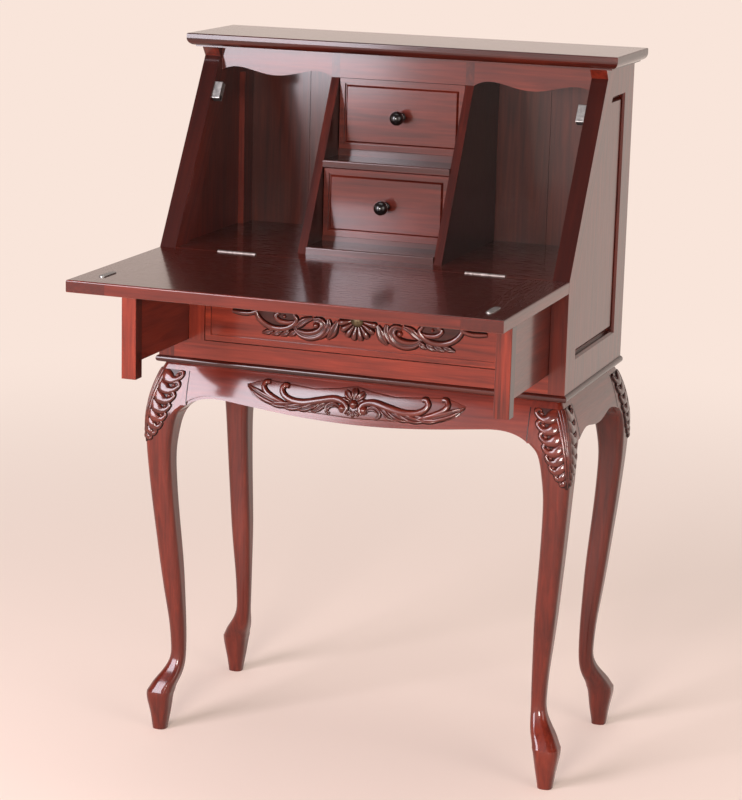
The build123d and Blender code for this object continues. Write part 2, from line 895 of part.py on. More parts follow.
loper_x = (slot_x + loper_side_clearance, inner_x - loper_side_clearance)
loper_low = rail_z + slide_clearance
loper_high = floor_z - slide_clearance
block_rear_y = front_y - loper_pull_length + loper_block_thickness
loper_travel = loper_pull_length - loper_block_thickness - slide_clearance
loper_rear_y = back_y - loper_back_gap - loper_travel

with BuildPart() as right_loper_board:
    block(loper_x, (block_rear_y, loper_rear_y), (loper_low, loper_high))
save(right_loper_board, "right_loper_board")

with BuildPart() as right_loper_block:
    block(
        loper_x,
        (front_y - loper_pull_length, block_rear_y),
        (loper_low - loper_block_drop, loper_high),
    )
    fillet(right_loper_block.edges().filter_by(Axis.Z).sort_by(Axis.Y)[:2], loper_block_radius)
save(right_loper_block, "right_loper_block")

with BuildPart() as left_loper_board:
    add(mirror(right_loper_board.part, about=Plane.YZ))
save(left_loper_board, "left_loper_board")

with BuildPart() as left_loper_block:
    add(mirror(right_loper_block.part, about=Plane.YZ))
save(left_loper_block, "left_loper_block")

# ---- Lid -----------------------------------------------------------------------------------
# A panel with a cross-grain batten at each end. It swings on two butt hinges whose pins lie
# on the line where its writing face meets the writing floor.

lid_rear_y = front_y - lid_case_gap
lid_front_y = front_y - lid_reach
lid_joint_x = half_width - lid_end_width
mortise_depth = knuckle_radius + knuckle_clearance

with BuildPart() as lid_board:
    block(
        (-lid_joint_x + end_joint_gap / 2, lid_joint_x - end_joint_gap / 2),
        (lid_front_y, lid_rear_y),
        (floor_z, writing_z),
    )
    fillet(lid_board.edges().filter_by(Axis.X).sort_by(Axis.Y)[:2], lid_edge_radius)
    for side in (-1, 1):
        centre_x = side * hinge_centre_x
        half_mortise = hinge_length / 2 + knuckle_clearance
        block(
            (centre_x - half_mortise, centre_x + half_mortise),
            (front_y - mortise_depth, front_y),
            (writing_z - leaf_drop - knuckle_clearance, writing_z),
            mode=Mode.SUBTRACT,
        )
        with Locations(
            Plane(
                (centre_x, front_y - mortise_depth, writing_z - hinge_screw_drop),
                x_dir=(1, 0, 0),
                z_dir=(0, 1, 0),
            )
        ):
            with GridLocations(hinge_screw_spacing, 1, 3, 1):
                Hole(hinge_screw_radius + screw_clearance, depth=hinge_screw_length)
save(lid_board, "lid_board")

with BuildPart() as lid_right_end:
    block((lid_joint_x + end_joint_gap / 2, half_width), (lid_front_y, lid_rear_y), (floor_z, writing_z))
    front_edges = lid_right_end.edges().filter_by(Axis.X).sort_by(Axis.Y)[:2]
    side_edges = lid_right_end.edges().filter_by(Axis.Y).sort_by(Axis.X)[-2:]
    fillet(front_edges + side_edges, lid_edge_radius)
save(lid_right_end, "lid_right_end")

with BuildPart() as lid_left_end:
    add(mirror(lid_right_end.part, about=Plane.YZ))
save(lid_left_end, "lid_left_end")

# ---- Hinges --------------------------------------------------------------------------------
# Brass butt hinges, five knuckles each: three on the case leaf and two on the lid leaf.

knuckle_pitch = (hinge_length + knuckle_gap) / hinge_knuckles
knuckle_length = knuckle_pitch - knuckle_gap


def hinge_leaf(centre_x, outward, first):
    """One leaf: its plate stands outward of the pin, with every second knuckle from the first."""
    near = front_y + outward * (mortise_depth - leaf_thickness)
    far = front_y + outward * mortise_depth
    plate_y = sorted((near, far))
    low_x = centre_x - hinge_length / 2
    high_z = writing_z - knuckle_radius - 2 * knuckle_clearance
    block((low_x, low_x + hinge_length), plate_y, (writing_z - leaf_drop, high_z))
    for number in range(first, hinge_knuckles, 2):
        start = low_x + number * knuckle_pitch
        block((start, start + knuckle_length), plate_y, (high_z, writing_z))
        with Locations((start + knuckle_length / 2, front_y, writing_z)):
            Cylinder(knuckle_radius, knuckle_length, rotation=(0, 90, 0))
    with Locations((centre_x, front_y, writing_z)):
        Cylinder(hinge_pin_radius + pin_clearance, hinge_length + pin_bore_margin, rotation=(0, 90, 0), mode=Mode.SUBTRACT)
    face = Plane((centre_x, near, writing_z - hinge_screw_drop), x_dir=(1, 0, 0), z_dir=(0, -outward, 0))
    with Locations(face):
        with GridLocations(hinge_screw_spacing, 1, 3, 1):
            CounterSinkHole(hinge_screw_radius + screw_clearance, hinge_screw_head_radius + screw_clearance)


def hinge_screws(centre_x, outward):
    """Three countersunk screws through one leaf into the edge behind it."""
    head_y = front_y + outward * (mortise_depth - leaf_thickness)
    sink = hinge_screw_head_radius - hinge_screw_radius
    tip = leaf_thickness + hinge_screw_length - hinge_screw_end_gap
    for number in (-1, 0, 1):
        x = centre_x + number * hinge_screw_spacing
        z = writing_z - hinge_screw_drop
        with BuildPart(mode=Mode.PRIVATE) as screw:
            with BuildSketch(Plane((x, head_y, z), x_dir=(1, 0, 0), z_dir=(0, 0, outward))):
                with BuildLine():
                    Polyline(
                        (0, 0),
                        (hinge_screw_head_radius, 0),
                        (hinge_screw_radius, sink),
                        (hinge_screw_radius, tip - hinge_screw_point),
                        (hinge_screw_tip_radius, tip),
                        (0, tip),
                        close=True,
                    )
                make_face()
            revolve(axis=Axis((x, head_y, z), (0, 1, 0)))
        add(screw.part)


with BuildPart() as hinge_case_leaves:
    for side in (-1, 1):
        hinge_leaf(side * hinge_centre_x, 1, 0)
save(hinge_case_leaves, "hinge_case_leaves")

with BuildPart() as hinge_lid_leaves:
    for side in (-1, 1):
        hinge_leaf(side * hinge_centre_x, -1, 1)
save(hinge_lid_leaves, "hinge_lid_leaves")

with BuildPart() as hinge_pins:
    for side in (-1, 1):
        with Locations((side * hinge_centre_x, front_y, writing_z)):
            Cylinder(hinge_pin_radius, hinge_length, rotation=(0, 90, 0))
save(hinge_pins, "hinge_pins")

with BuildPart() as case_hinge_screws:
    for side in (-1, 1):
        hinge_screws(side * hinge_centre_x, 1)
save(case_hinge_screws, "case_hinge_screws")

with BuildPart() as lid_hinge_screws:
    for side in (-1, 1):
        hinge_screws(side * hinge_centre_x, -1)
save(lid_hinge_screws, "lid_hinge_screws")

# ---- Lid catches ---------------------------------------------------------------------------
# A roller catch on each side, just behind the slanted edge, and its strike on the lid.

catch_plane = Plane(
    (inner_x, *along_slant(catch_low, catch_set_back)),
    x_dir=(0, math.cos(slant), math.sin(slant)),
    z_dir=(-1, 0, 0),
)
roller_place = (roller_radius, catch_depth / 2)

with BuildPart() as catch_bodies:
    with BuildSketch(catch_plane):
        with Locations((catch_length / 2, catch_depth / 2)):
            RectangleRounded(catch_length, catch_depth, catch_radius)
        with Locations(roller_place):
            Circle(roller_radius + roller_clearance, mode=Mode.SUBTRACT)
    extrude(amount=catch_width)
    mirror(about=Plane.YZ)
save(catch_bodies, "catch_bodies")

with BuildPart() as catch_rollers:
    with BuildSketch(catch_plane):
        with Locations(roller_place):
            Circle(roller_radius)
    extrude(amount=catch_width)
    mirror(about=Plane.YZ)
save(catch_rollers, "catch_rollers")

strike_x = inner_x - strike_edge_gap - strike_width / 2
with BuildPart() as catch_strikes:
    with BuildSketch(Plane.XY.offset(writing_z)):
        with Locations((strike_x, front_y - strike_low - strike_length / 2)):
            SlotOverall(strike_length, strike_width, rotation=90)
    extrude(amount=strike_thickness)
    with Locations((strike_x, front_y - strike_low - strike_length + strike_width / 2, writing_z)):
        Sphere(strike_ball_radius)
    block(
        (strike_x - strike_width, strike_x + strike_width),
        (front_y - strike_low - strike_length, front_y - strike_low),
        (writing_z - 2 * strike_ball_radius, writing_z),
        mode=Mode.SUBTRACT,
    )
    mirror(about=Plane.YZ)
save(catch_strikes, "catch_strikes")
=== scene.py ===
import math

import bmesh
import bpy
from mathutils import Matrix, Vector
from mathutils.bvhtree import BVHTree


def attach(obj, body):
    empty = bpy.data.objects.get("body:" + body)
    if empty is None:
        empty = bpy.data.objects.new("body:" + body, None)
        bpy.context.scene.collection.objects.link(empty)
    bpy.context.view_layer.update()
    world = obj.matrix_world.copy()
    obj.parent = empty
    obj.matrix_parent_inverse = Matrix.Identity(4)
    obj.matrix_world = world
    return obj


# A fall-front secretary desk in dark red mahogany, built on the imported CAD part. The sections
# follow the desk as it is put together: the stand, the case, the nest of drawers, the main
# drawer, the lopers and the lid, its hinges and catches, the carving, and last the floor, lamps
# and camera. Sizes are in metres, and in millimetres for the carving and the joint lines.

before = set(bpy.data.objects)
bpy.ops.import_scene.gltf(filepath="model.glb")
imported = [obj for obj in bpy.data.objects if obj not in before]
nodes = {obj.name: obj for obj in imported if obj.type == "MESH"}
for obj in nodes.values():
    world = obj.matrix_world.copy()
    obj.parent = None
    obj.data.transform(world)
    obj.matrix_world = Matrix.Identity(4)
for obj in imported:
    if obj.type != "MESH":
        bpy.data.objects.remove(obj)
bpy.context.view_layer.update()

# ---- Stand ---------------------------------------------------------------------------------
# Four cabriole legs cut from the solid, with aprons glued between them, swelled in front and at
# the sides, and blocks screwed into the corners. A thin moulded board lies on top. All are
# mahogany under a dark red glossy lacquer, with the grain along the board.

# The darkest tone of the grain, which is also the colour of painted shade where a wood has it.
DEEP_STAIN_AND_SHADE = (0.010, 0.0030, 0.0024, 1.0)
OUTER_MIDDLE = (0.118, 0.0122, 0.0052, 1.0)
OUTER_LIGHT = (0.215, 0.0265, 0.0105, 1.0)
OUTER_TONES = ((0.046, 0.0046, 0.0023, 1.0), OUTER_MIDDLE, OUTER_LIGHT)
MOULDED_TONES = (DEEP_STAIN_AND_SHADE, (0.048, 0.0062, 0.0034, 1.0), (0.110, 0.0150, 0.0072, 1.0))
TONE_PLACES = (0.30, 0.52, 0.74)
ALONG_GRAIN = 2.2
ACROSS_GRAIN = 42.0
STREAKS = {"Scale": 3.0, "Detail": 6.0, "Roughness": 0.62, "Distortion": 0.35}
PORES = {"Scale": 22.0, "Detail": 3.0}
CLOUDS = {"Scale": 5.0, "Detail": 2.0}
CLOUD_SHARE = 0.35
END_GRAIN_SHARE = 0.70
# Painted shade: faces that look a chosen way are darkened up to this share.
SHADED_FACE_SHARE = 0.86
FACE_FROM = 0.90
END_GRAIN_TO = 0.99
SHADED_FACE_TO = 0.97
PORE_STRENGTH = 0.06
PORE_DEPTH = 0.0004
WOOD_SMOOTHEST = 0.30
WOOD_ROUGHEST = 0.46
WOOD_SPECULAR = 0.12
WOOD_INDEX = 1.5
LACQUER_WEIGHT = 0.88
LACQUER_ROUGHNESS = 0.12


def feed(tree, socket, value):
    """Links a socket to another one, or sets it."""
    if isinstance(value, bpy.types.NodeSocket):
        tree.links.new(value, socket)
    else:
        socket.default_value = value


def computed(tree, operation, first, second=0.0):
    """The result of one operation on two numbers."""
    node = tree.nodes.new("ShaderNodeMath")
    node.operation = operation
    feed(tree, node.inputs[0], first)
    feed(tree, node.inputs[1], second)
    return node.outputs["Value"]


def ranged(tree, value, start, stop, low, high, smooth=False):
    """A value moved from the range between start and stop to the one between low and high."""
    node = tree.nodes.new("ShaderNodeMapRange")
    node.interpolation_type = "SMOOTHSTEP" if smooth else "LINEAR"
    feed(tree, node.inputs["Value"], value)
    for name, limit in (("From Min", start), ("From Max", stop), ("To Min", low), ("To Max", high)):
        node.inputs[name].default_value = limit
    return node.outputs["Result"]


def mixed(tree, kind, share, first, second):
    """A number, vector or colour between two others."""
    inputs, output = {"FLOAT": ((2, 3), 0), "VECTOR": ((4, 5), 1), "RGBA": ((6, 7), 2)}[kind]
    node = tree.nodes.new("ShaderNodeMix")
    node.data_type = kind
    feed(tree, node.inputs["Factor"], share)
    feed(tree, node.inputs[inputs[0]], first)
    feed(tree, node.inputs[inputs[1]], second)
    return node.outputs[output]


def noise(tree, place, settings):
    """Noise at a place, as a number."""
    node = tree.nodes.new("ShaderNodeTexNoise")
    feed(tree, node.inputs["Vector"], place)
    for name, value in settings.items():
        node.inputs[name].default_value = value
    return node.outputs["Fac"]


def apart(tree, vector, axis):
    """One part of a vector."""
    node = tree.nodes.new("ShaderNodeSeparateXYZ")
    feed(tree, node.inputs["Vector"], vector)
    return node.outputs[axis]


def along_way(tree, vector, way):
    """How far a vector goes along a fixed way."""
    node = tree.nodes.new("ShaderNodeVectorMath")
    node.operation = "DOT_PRODUCT"
    feed(tree, node.inputs[0], vector)
    node.inputs[1].default_value = way
    return node.outputs["Value"]


def stretched(tree, place, along):
    """A place drawn out so that noise there becomes grain along X, Y or Z."""
    node = tree.nodes.new("ShaderNodeMapping")
    feed(tree, node.inputs["Vector"], place)
    scales = [ALONG_GRAIN if axis == along else ACROSS_GRAIN for axis in "XYZ"]
    node.inputs["Scale"].default_value = scales
    return node.outputs["Vector"]


def mahogany(name, along, tones=OUTER_TONES, shade_way=None, both_ways=False, bend=None):
    """Lacquered mahogany whose grain runs along X, Y or Z.

    Faces that look the shade way, or both ways along it, are darkened as painted shade. bend is a
    function that turns the grain where a board's edge runs at a slant.
    """
    material = bpy.data.materials.new(name)
    material.use_nodes = True
    tree = material.node_tree
    shader = tree.nodes["Principled BSDF"]
    coordinates = tree.nodes.new("ShaderNodeTexCoord")
    place = coordinates.outputs["Object"]
    normal = coordinates.outputs["Normal"]
    grain = stretched(tree, place, along)
    if bend:
        grain = bend(tree, place, grain, along)
    streaks = noise(tree, grain, STREAKS)
    pores = noise(tree, grain, PORES)
    cloud = noise(tree, place, CLOUDS)

    tone = tree.nodes.new("ShaderNodeValToRGB")
    ramp = tone.color_ramp
    ramp.elements.new(TONE_PLACES[1])
    for element, spot, colour in zip(ramp.elements, TONE_PLACES, tones):
        element.position = spot
        element.color = colour
    feed(tree, tone.inputs["Fac"], mixed(tree, "FLOAT", CLOUD_SHARE, streaks, cloud))
    facing = computed(tree, "ABSOLUTE", apart(tree, normal, along))
    soak_and_shade = ranged(tree, facing, FACE_FROM, END_GRAIN_TO, 0.0, END_GRAIN_SHARE)
    # Painted shade on faces that look the shade way, joined with the real darkening of end grain.
    if shade_way:
        turned = along_way(tree, normal, shade_way)
        if both_ways:
            turned = computed(tree, "ABSOLUTE", turned)
        shaded_faces = ranged(tree, turned, FACE_FROM, SHADED_FACE_TO, 0.0, SHADED_FACE_SHARE)
        soak_and_shade = computed(tree, "MAXIMUM", shaded_faces, soak_and_shade)

    bump = tree.nodes.new("ShaderNodeBump")
    bump.inputs["Strength"].default_value = PORE_STRENGTH
    bump.inputs["Distance"].default_value = PORE_DEPTH
    feed(tree, bump.inputs["Height"], pores)
    feed(tree, shader.inputs["Base Color"],
         mixed(tree, "RGBA", soak_and_shade, tone.outputs["Color"], tones[0]))
    feed(tree, shader.inputs["Roughness"],
         ranged(tree, pores, 0.0, 1.0, WOOD_SMOOTHEST, WOOD_ROUGHEST))
    feed(tree, shader.inputs["Normal"], bump.outputs["Normal"])
    shader.inputs["Coat Weight"].default_value = LACQUER_WEIGHT
    shader.inputs["Coat Roughness"].default_value = LACQUER_ROUGHNESS
    shader.inputs["Specular IOR Level"].default_value = WOOD_SPECULAR
    shader.inputs["IOR"].default_value = WOOD_INDEX
    return material


def finish_nodes(material, *names):
    """Gives CAD nodes one material in every slot."""
    for name in names:
        node = nodes[name]
        node.data.materials.clear()
        node.data.materials.append(material)


mahogany_across = mahogany("mahogany_across", "X")
mahogany_deep = mahogany("mahogany_deep", "Y")
mahogany_upright = mahogany("mahogany_upright", "Z")
moulded_wood = mahogany("moulded_wood", "X", MOULDED_TONES)
finish_nodes(mahogany_upright, "front_right_leg", "front_left_leg")
finish_nodes(mahogany_upright, "rear_right_leg", "rear_left_leg")
finish_nodes(mahogany_across, "front_apron", "rear_apron", "corner_blocks")
finish_nodes(moulded_wood, "stand_top_board")
finish_nodes(mahogany_deep, "side_aprons")

# ---- Case ----------------------------------------------------------------------------------
# Framed sides with sunk panels, a moulded top, the writing floor, a bottom and upright boards
# at the back, all glued mahogany. The rail and stiles round the drawer get a lighter copy of the
# wood as painted light, and the back boards a darker one as painted shade inside the case.

# A lighter copy of the wood: painted light for parts that face the front lamp.
FRONT_MIDDLE = (0.190, 0.0190, 0.0070, 1.0)
FRONT_LIGHT = (0.345, 0.0420, 0.0150, 1.0)
FRONT_TONES = ((0.052, 0.0052, 0.0024, 1.0), FRONT_MIDDLE, FRONT_LIGHT)
# Its darkest tone is the painted shade on the sloped edges.
SLOPED_TONES = ((0.018, 0.0032, 0.0022, 1.0), OUTER_MIDDLE, OUTER_LIGHT)
# A darker copy: painted shade for the back boards inside the case.
INNER_TONES = (DEEP_STAIN_AND_SHADE, (0.044, 0.0076, 0.0046, 1.0), (0.095, 0.0165, 0.0085, 1.0))
UPWARDS = (0.0, 0.0, 1.0)
SLANT_ANGLE = 59.3
SLANT_NORMAL = (0.0, -0.8599, 0.5105)
SLANT_START = 0.3373
SLANT_FOOT = 0.7304


def grain_with_slope(tree, place, straight, along):
    """Grain that follows the sloping edge of a side board there and is straight elsewhere."""
    lean = tree.nodes.new("ShaderNodeVectorRotate")
    lean.rotation_type = "X_AXIS"
    lean.inputs["Angle"].default_value = math.radians(90 - SLANT_ANGLE)
    feed(tree, lean.inputs["Vector"], place)
    leaning = stretched(tree, lean.outputs["Vector"], along)
    deep = computed(tree, "GREATER_THAN", along_way(tree, place, SLANT_NORMAL), SLANT_START)
    high = computed(tree, "GREATER_THAN", apart(tree, place, "Z"), SLANT_FOOT)
    return mixed(tree, "VECTOR", computed(tree, "MULTIPLY", deep, high), straight, leaning)


front_across = mahogany("front_across", "X", FRONT_TONES)
front_upright = mahogany("front_upright", "Z", FRONT_TONES)
# The sloped edges of the side frames get painted shade, darker where they face up and forward.
slanted_mahogany = mahogany("slanted_mahogany", "Z", SLOPED_TONES, shade_way=SLANT_NORMAL,
                            bend=grain_with_slope)
inner_upright = mahogany("inner_upright", "Z", INNER_TONES)
# Faces of the lid and the writing floor that look up get painted shade.
lid_across = mahogany("lid_across", "X", shade_way=UPWARDS)
finish_nodes(slanted_mahogany, "right_side_frame", "left_side_frame")
finish_nodes(mahogany_upright, "side_panels")
finish_nodes(front_upright, "front_stiles")
finish_nodes(inner_upright, "back_boards")
finish_nodes(moulded_wood, "top_board")
finish_nodes(mahogany_across, "case_bottom")
finish_nodes(front_across, "front_bottom_rail")
finish_nodes(lid_across, "writing_floor")
finish_nodes(mahogany_deep, "loper_walls", "loper_runners", "drawer_runners", "drawer_guides")

# The panel in each side has a raised field: a flat middle with a sloped edge all round.
PANEL_FACE = 0.296
FIELD_FACE = 0.3015
FIELD_FOOT = ((0.0435, 0.6215), (0.0435, 0.7290), (0.1808, 0.9603), (0.2415, 0.9603),
              (0.2415, 0.6215))
FIELD_TOP = ((0.0475, 0.6280), (0.0475, 0.7279), (0.1830, 0.9563), (0.2375, 0.9563),
             (0.2375, 0.6280))
FIELD_CORNERS = len(FIELD_FOOT)
for side, word in ((1, "right"), (-1, "left")):
    corners = [(side * PANEL_FACE, y, z) for y, z in FIELD_FOOT]
    corners += [(side * FIELD_FACE, y, z) for y, z in FIELD_TOP]
    walls = [tuple(range(FIELD_CORNERS, 2 * FIELD_CORNERS))]
    for corner in range(FIELD_CORNERS):
        beside = (corner + 1) % FIELD_CORNERS
        walls.append((corner, beside, beside + FIELD_CORNERS, corner + FIELD_CORNERS))
    field_mesh = bpy.data.meshes.new(word + "_panel_field")
    field_mesh.from_pydata(corners, [], walls)
    shape = bmesh.new()
    shape.from_mesh(field_mesh)
    bmesh.ops.recalc_face_normals(shape, faces=shape.faces)
    shape.faces.ensure_lookup_table()
    if shape.faces[0].normal.x * side < 0:
        bmesh.ops.reverse_faces(shape, faces=shape.faces)
    shape.to_mesh(field_mesh)
    shape.free()
    field_mesh.materials.append(mahogany_upright)
    field = bpy.data.objects.new(word + "_panel_field", field_mesh)
    bpy.context.scene.collection.objects.link(field)
    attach(field, "case")

# ---- Drawer nest ---------------------------------------------------------------------------
# Two slanted partitions, scalloped valances and the shelves between which the small drawers
# slide. All are thin mahogany boards glued into the case, coloured darker than its outside as
# painted shade inside it; the partitions' sides and the shelves' tops are darkened further as
# painted shade.

NEST_TONES = ((0.030, 0.0036, 0.0020, 1.0), (0.085, 0.0092, 0.0042, 1.0),
              (0.155, 0.0195, 0.0080, 1.0))
SIDEWAYS = (1.0, 0.0, 0.0)
nest_wood = mahogany("nest_wood", "X", NEST_TONES)
partition_wood = mahogany("partition_wood", "Z", MOULDED_TONES, shade_way=SIDEWAYS, both_ways=True,
                          bend=grain_with_slope)
shelf_wood = mahogany("shelf_wood", "X", MOULDED_TONES, shade_way=UPWARDS)
finish_nodes(partition_wood, "partitions")
finish_nodes(nest_wood, "side_valances", "centre_valance")
finish_nodes(shelf_wood, "unit_base", "unit_shelf")
finish_nodes(moulded_wood, "small_drawer_rails")
finish_nodes(mahogany_deep, "small_drawer_runners")
for drawer in ("upper_drawer", "lower_drawer"):
    finish_nodes(nest_wood, drawer + "_front")
    finish_nodes(mahogany_across, drawer + "_back", drawer + "_bottom")
    finish_nodes(mahogany_deep, drawer + "_sides")

# ---- Main drawer ---------------------------------------------------------------------------
# One wide drawer on wooden runners. Its front has a sunk field for the carving and the same
# painted light as the rail under it, a lighter copy of the wood.

finish_nodes(front_across, "main_drawer_front")
finish_nodes(mahogany_across, "main_drawer_back", "main_drawer_bottom")
finish_nodes(mahogany_deep, "main_drawer_sides")

# ---- Lopers and lid ------------------------------------------------------------------------
# Two boards slide out to carry the lid, whose panel is held flat by a batten at each end. A
# block is glued on the front end of each loper, with painted light in front and painted shade on
# its sides.

BLOCK_TONES = (DEEP_STAIN_AND_SHADE, FRONT_MIDDLE, FRONT_LIGHT)
block_wood = mahogany("block_wood", "Z", BLOCK_TONES, shade_way=SIDEWAYS, both_ways=True)
# The lid's end battens also get painted shade where they look up.
lid_deep = mahogany("lid_deep", "Y", shade_way=UPWARDS)
finish_nodes(mahogany_deep, "left_loper_board", "right_loper_board")
finish_nodes(lid_deep, "lid_right_end", "lid_left_end")
finish_nodes(block_wood, "left_loper_block", "right_loper_block")
finish_nodes(lid_across, "lid_board")

# ---- Knobs, hinges and catches -------------------------------------------------------------
# The small drawers have turned knobs in near-black gloss, the main drawer a brass one. The
# hinges are dull grey steel with darker screws, the catches bright steel with black rollers.

TARNISH_PLACES = (0.32, 0.68)
TARNISH_DETAIL = 4.0
TARNISH_SMOOTHER = 0.06
TARNISH_ROUGHER = 0.08
SURFACE_STRENGTH = 0.08
SURFACE_DEPTH = 0.0002
KNOB_LACQUER_ROUGHNESS = 0.04


def metal(name, dark, light, roughness, scale):
    """Metal with faint clouds of tarnish and a slightly uneven surface."""
    material = bpy.data.materials.new(name)
    material.use_nodes = True
    tree = material.node_tree
    shader = tree.nodes["Principled BSDF"]
    place = tree.nodes.new("ShaderNodeTexCoord").outputs["Object"]
    cloud = noise(tree, place, {"Scale": scale, "Detail": TARNISH_DETAIL})
    tone = tree.nodes.new("ShaderNodeValToRGB")
    for element, spot, colour in zip(tone.color_ramp.elements, TARNISH_PLACES, (dark, light)):
        element.position = spot
        element.color = colour
    feed(tree, tone.inputs["Fac"], cloud)
    bump = tree.nodes.new("ShaderNodeBump")
    bump.inputs["Strength"].default_value = SURFACE_STRENGTH
    bump.inputs["Distance"].default_value = SURFACE_DEPTH
    feed(tree, bump.inputs["Height"], cloud)
    feed(tree, shader.inputs["Base Color"], tone.outputs["Color"])
    feed(tree, shader.inputs["Roughness"],
         ranged(tree, cloud, 0.0, 1.0, roughness - TARNISH_SMOOTHER, roughness + TARNISH_ROUGHER))
    feed(tree, shader.inputs["Normal"], bump.outputs["Normal"])
    shader.inputs["Metallic"].default_value = 1.0
    return material


hinge_steel = metal("hinge_steel", (0.17, 0.14, 0.13, 1.0), (0.36, 0.31, 0.29, 1.0), 0.50, 160.0)
dull_brass = metal("dull_brass", (0.060, 0.044, 0.026, 1.0), (0.150, 0.115, 0.066, 1.0),
                   0.42, 160.0)
bright_steel = metal("bright_steel", (0.28, 0.27, 0.26, 1.0), (0.52, 0.50, 0.48, 1.0), 0.46, 180.0)
screw_steel = metal("screw_steel", (0.14, 0.13, 0.12, 1.0), (0.28, 0.26, 0.24, 1.0), 0.42, 180.0)
BLACK_TONES = ((0.0030, 0.0022, 0.0022, 1.0), (0.0060, 0.0036, 0.0034, 1.0),
               (0.0120, 0.0060, 0.0052, 1.0))
black_gloss = mahogany("black_gloss", "Z", BLACK_TONES)
knob_shader = black_gloss.node_tree.nodes["Principled BSDF"]
knob_shader.inputs["Coat Roughness"].default_value = KNOB_LACQUER_ROUGHNESS
roller_black = metal("roller_black", (0.010, 0.010, 0.011, 1.0), (0.022, 0.022, 0.023, 1.0),
                     0.44, 150.0)
roller_black.node_tree.nodes["Principled BSDF"].inputs["Metallic"].default_value = 0.0

finish_nodes(black_gloss, "upper_drawer_knob", "lower_drawer_knob")
finish_nodes(dull_brass, "main_drawer_knob")
finish_nodes(hinge_steel, "hinge_case_leaves", "hinge_lid_leaves", "hinge_pins")
finish_nodes(screw_steel, "case_hinge_screws", "lid_hinge_screws", "corner_screws")
finish_nodes(bright_steel, "catch_bodies", "catch_strikes")
finish_nodes(roller_black, "catch_rollers")

# ---- Knee leaves ---------------------------------------------------------------------------
# An acanthus leaf is carved in the solid round the outer corner of every knee: stalks down the
# corner and curled lobes to both sides, smaller towards the tip. The rear legs have it on their
# outer side only.

# All carving stands proud of the surface under it. Each leaf, stem or bead is a strip that
# follows its line over that surface, full along its flanks and hollowed down its middle, and
# painted shade darkens its foot and its hollow.
CARVED_TONES = ((0.024, 0.0036, 0.0024, 1.0), (0.100, 0.0128, 0.0066, 1.0),
                (0.210, 0.0320, 0.0150, 1.0))
HOLLOW_SHADE = (0.010, 0.0036, 0.0032, 1.0)
HOLLOW_SHADE_LACQUER = 0.15
MM = 0.001
# Each profile point is (place across, height, painted shade).
LEAF_PROFILE = ((-1.0, 0.0, 1.0), (-0.95, 0.42, 0.85), (-0.78, 0.84, 0.25), (-0.52, 1.0, 0.0),
                (-0.22, 0.84, 0.2), (0.0, 0.62, 0.7), (0.22, 0.84, 0.2), (0.52, 1.0, 0.0),
                (0.78, 0.84, 0.25), (0.95, 0.42, 0.85), (1.0, 0.0, 1.0))
STEM_PROFILE = ((-1.0, 0.0, 1.0), (-0.93, 0.45, 0.85), (-0.72, 0.80, 0.25), (-0.36, 0.96, 0.0),
                (0.0, 1.0, 0.0), (0.36, 0.96, 0.0), (0.72, 0.80, 0.25), (0.93, 0.45, 0.85),
                (1.0, 0.0, 1.0))
FOOT_WIDTH = 1.5
FOOT_HEIGHT = 0.15
FOOT_SINK = 0.1
LEAST_HALF = 0.2
BEAD_RINGS = 6
BEAD_SIDES = 16
BEAD_TIP = 0.03
MERGE_DISTANCE = 0.04


def smooth_line(points, steps):
    """A smooth curve through points, as closely spaced points."""
    ends = [points[0]] + list(points) + [points[-1]]
    line = []
    for index in range(1, len(ends) - 2):
        before, start, stop, after = ends[index - 1:index + 3]
        for step in range(steps):
            t = step / steps
            line.append([0.5 * (2 * b + (c - a) * t + (2 * a - 5 * b + 4 * c - d) * t * t
                                + (3 * b - a - 3 * c + d) * t ** 3)
                         for a, b, c, d in zip(before, start, stop, after)])
    line.append(list(points[-1]))
    return line


def read_table(table, value):
    """Reads a table of rising (value, result) pairs, which stays level beyond its ends."""
    for (low, first), (high, last) in zip(table, table[1:]):
        if value <= high:
            return first + (last - first) * max((value - low) / (high - low), 0.0)
    return table[-1][1]


def placed(spine, side, flip=1):
    """A spine moved to one side of the middle, upright or upside down."""
    return [(side * u, flip * v, half, rise) for u, v, half, rise in spine]


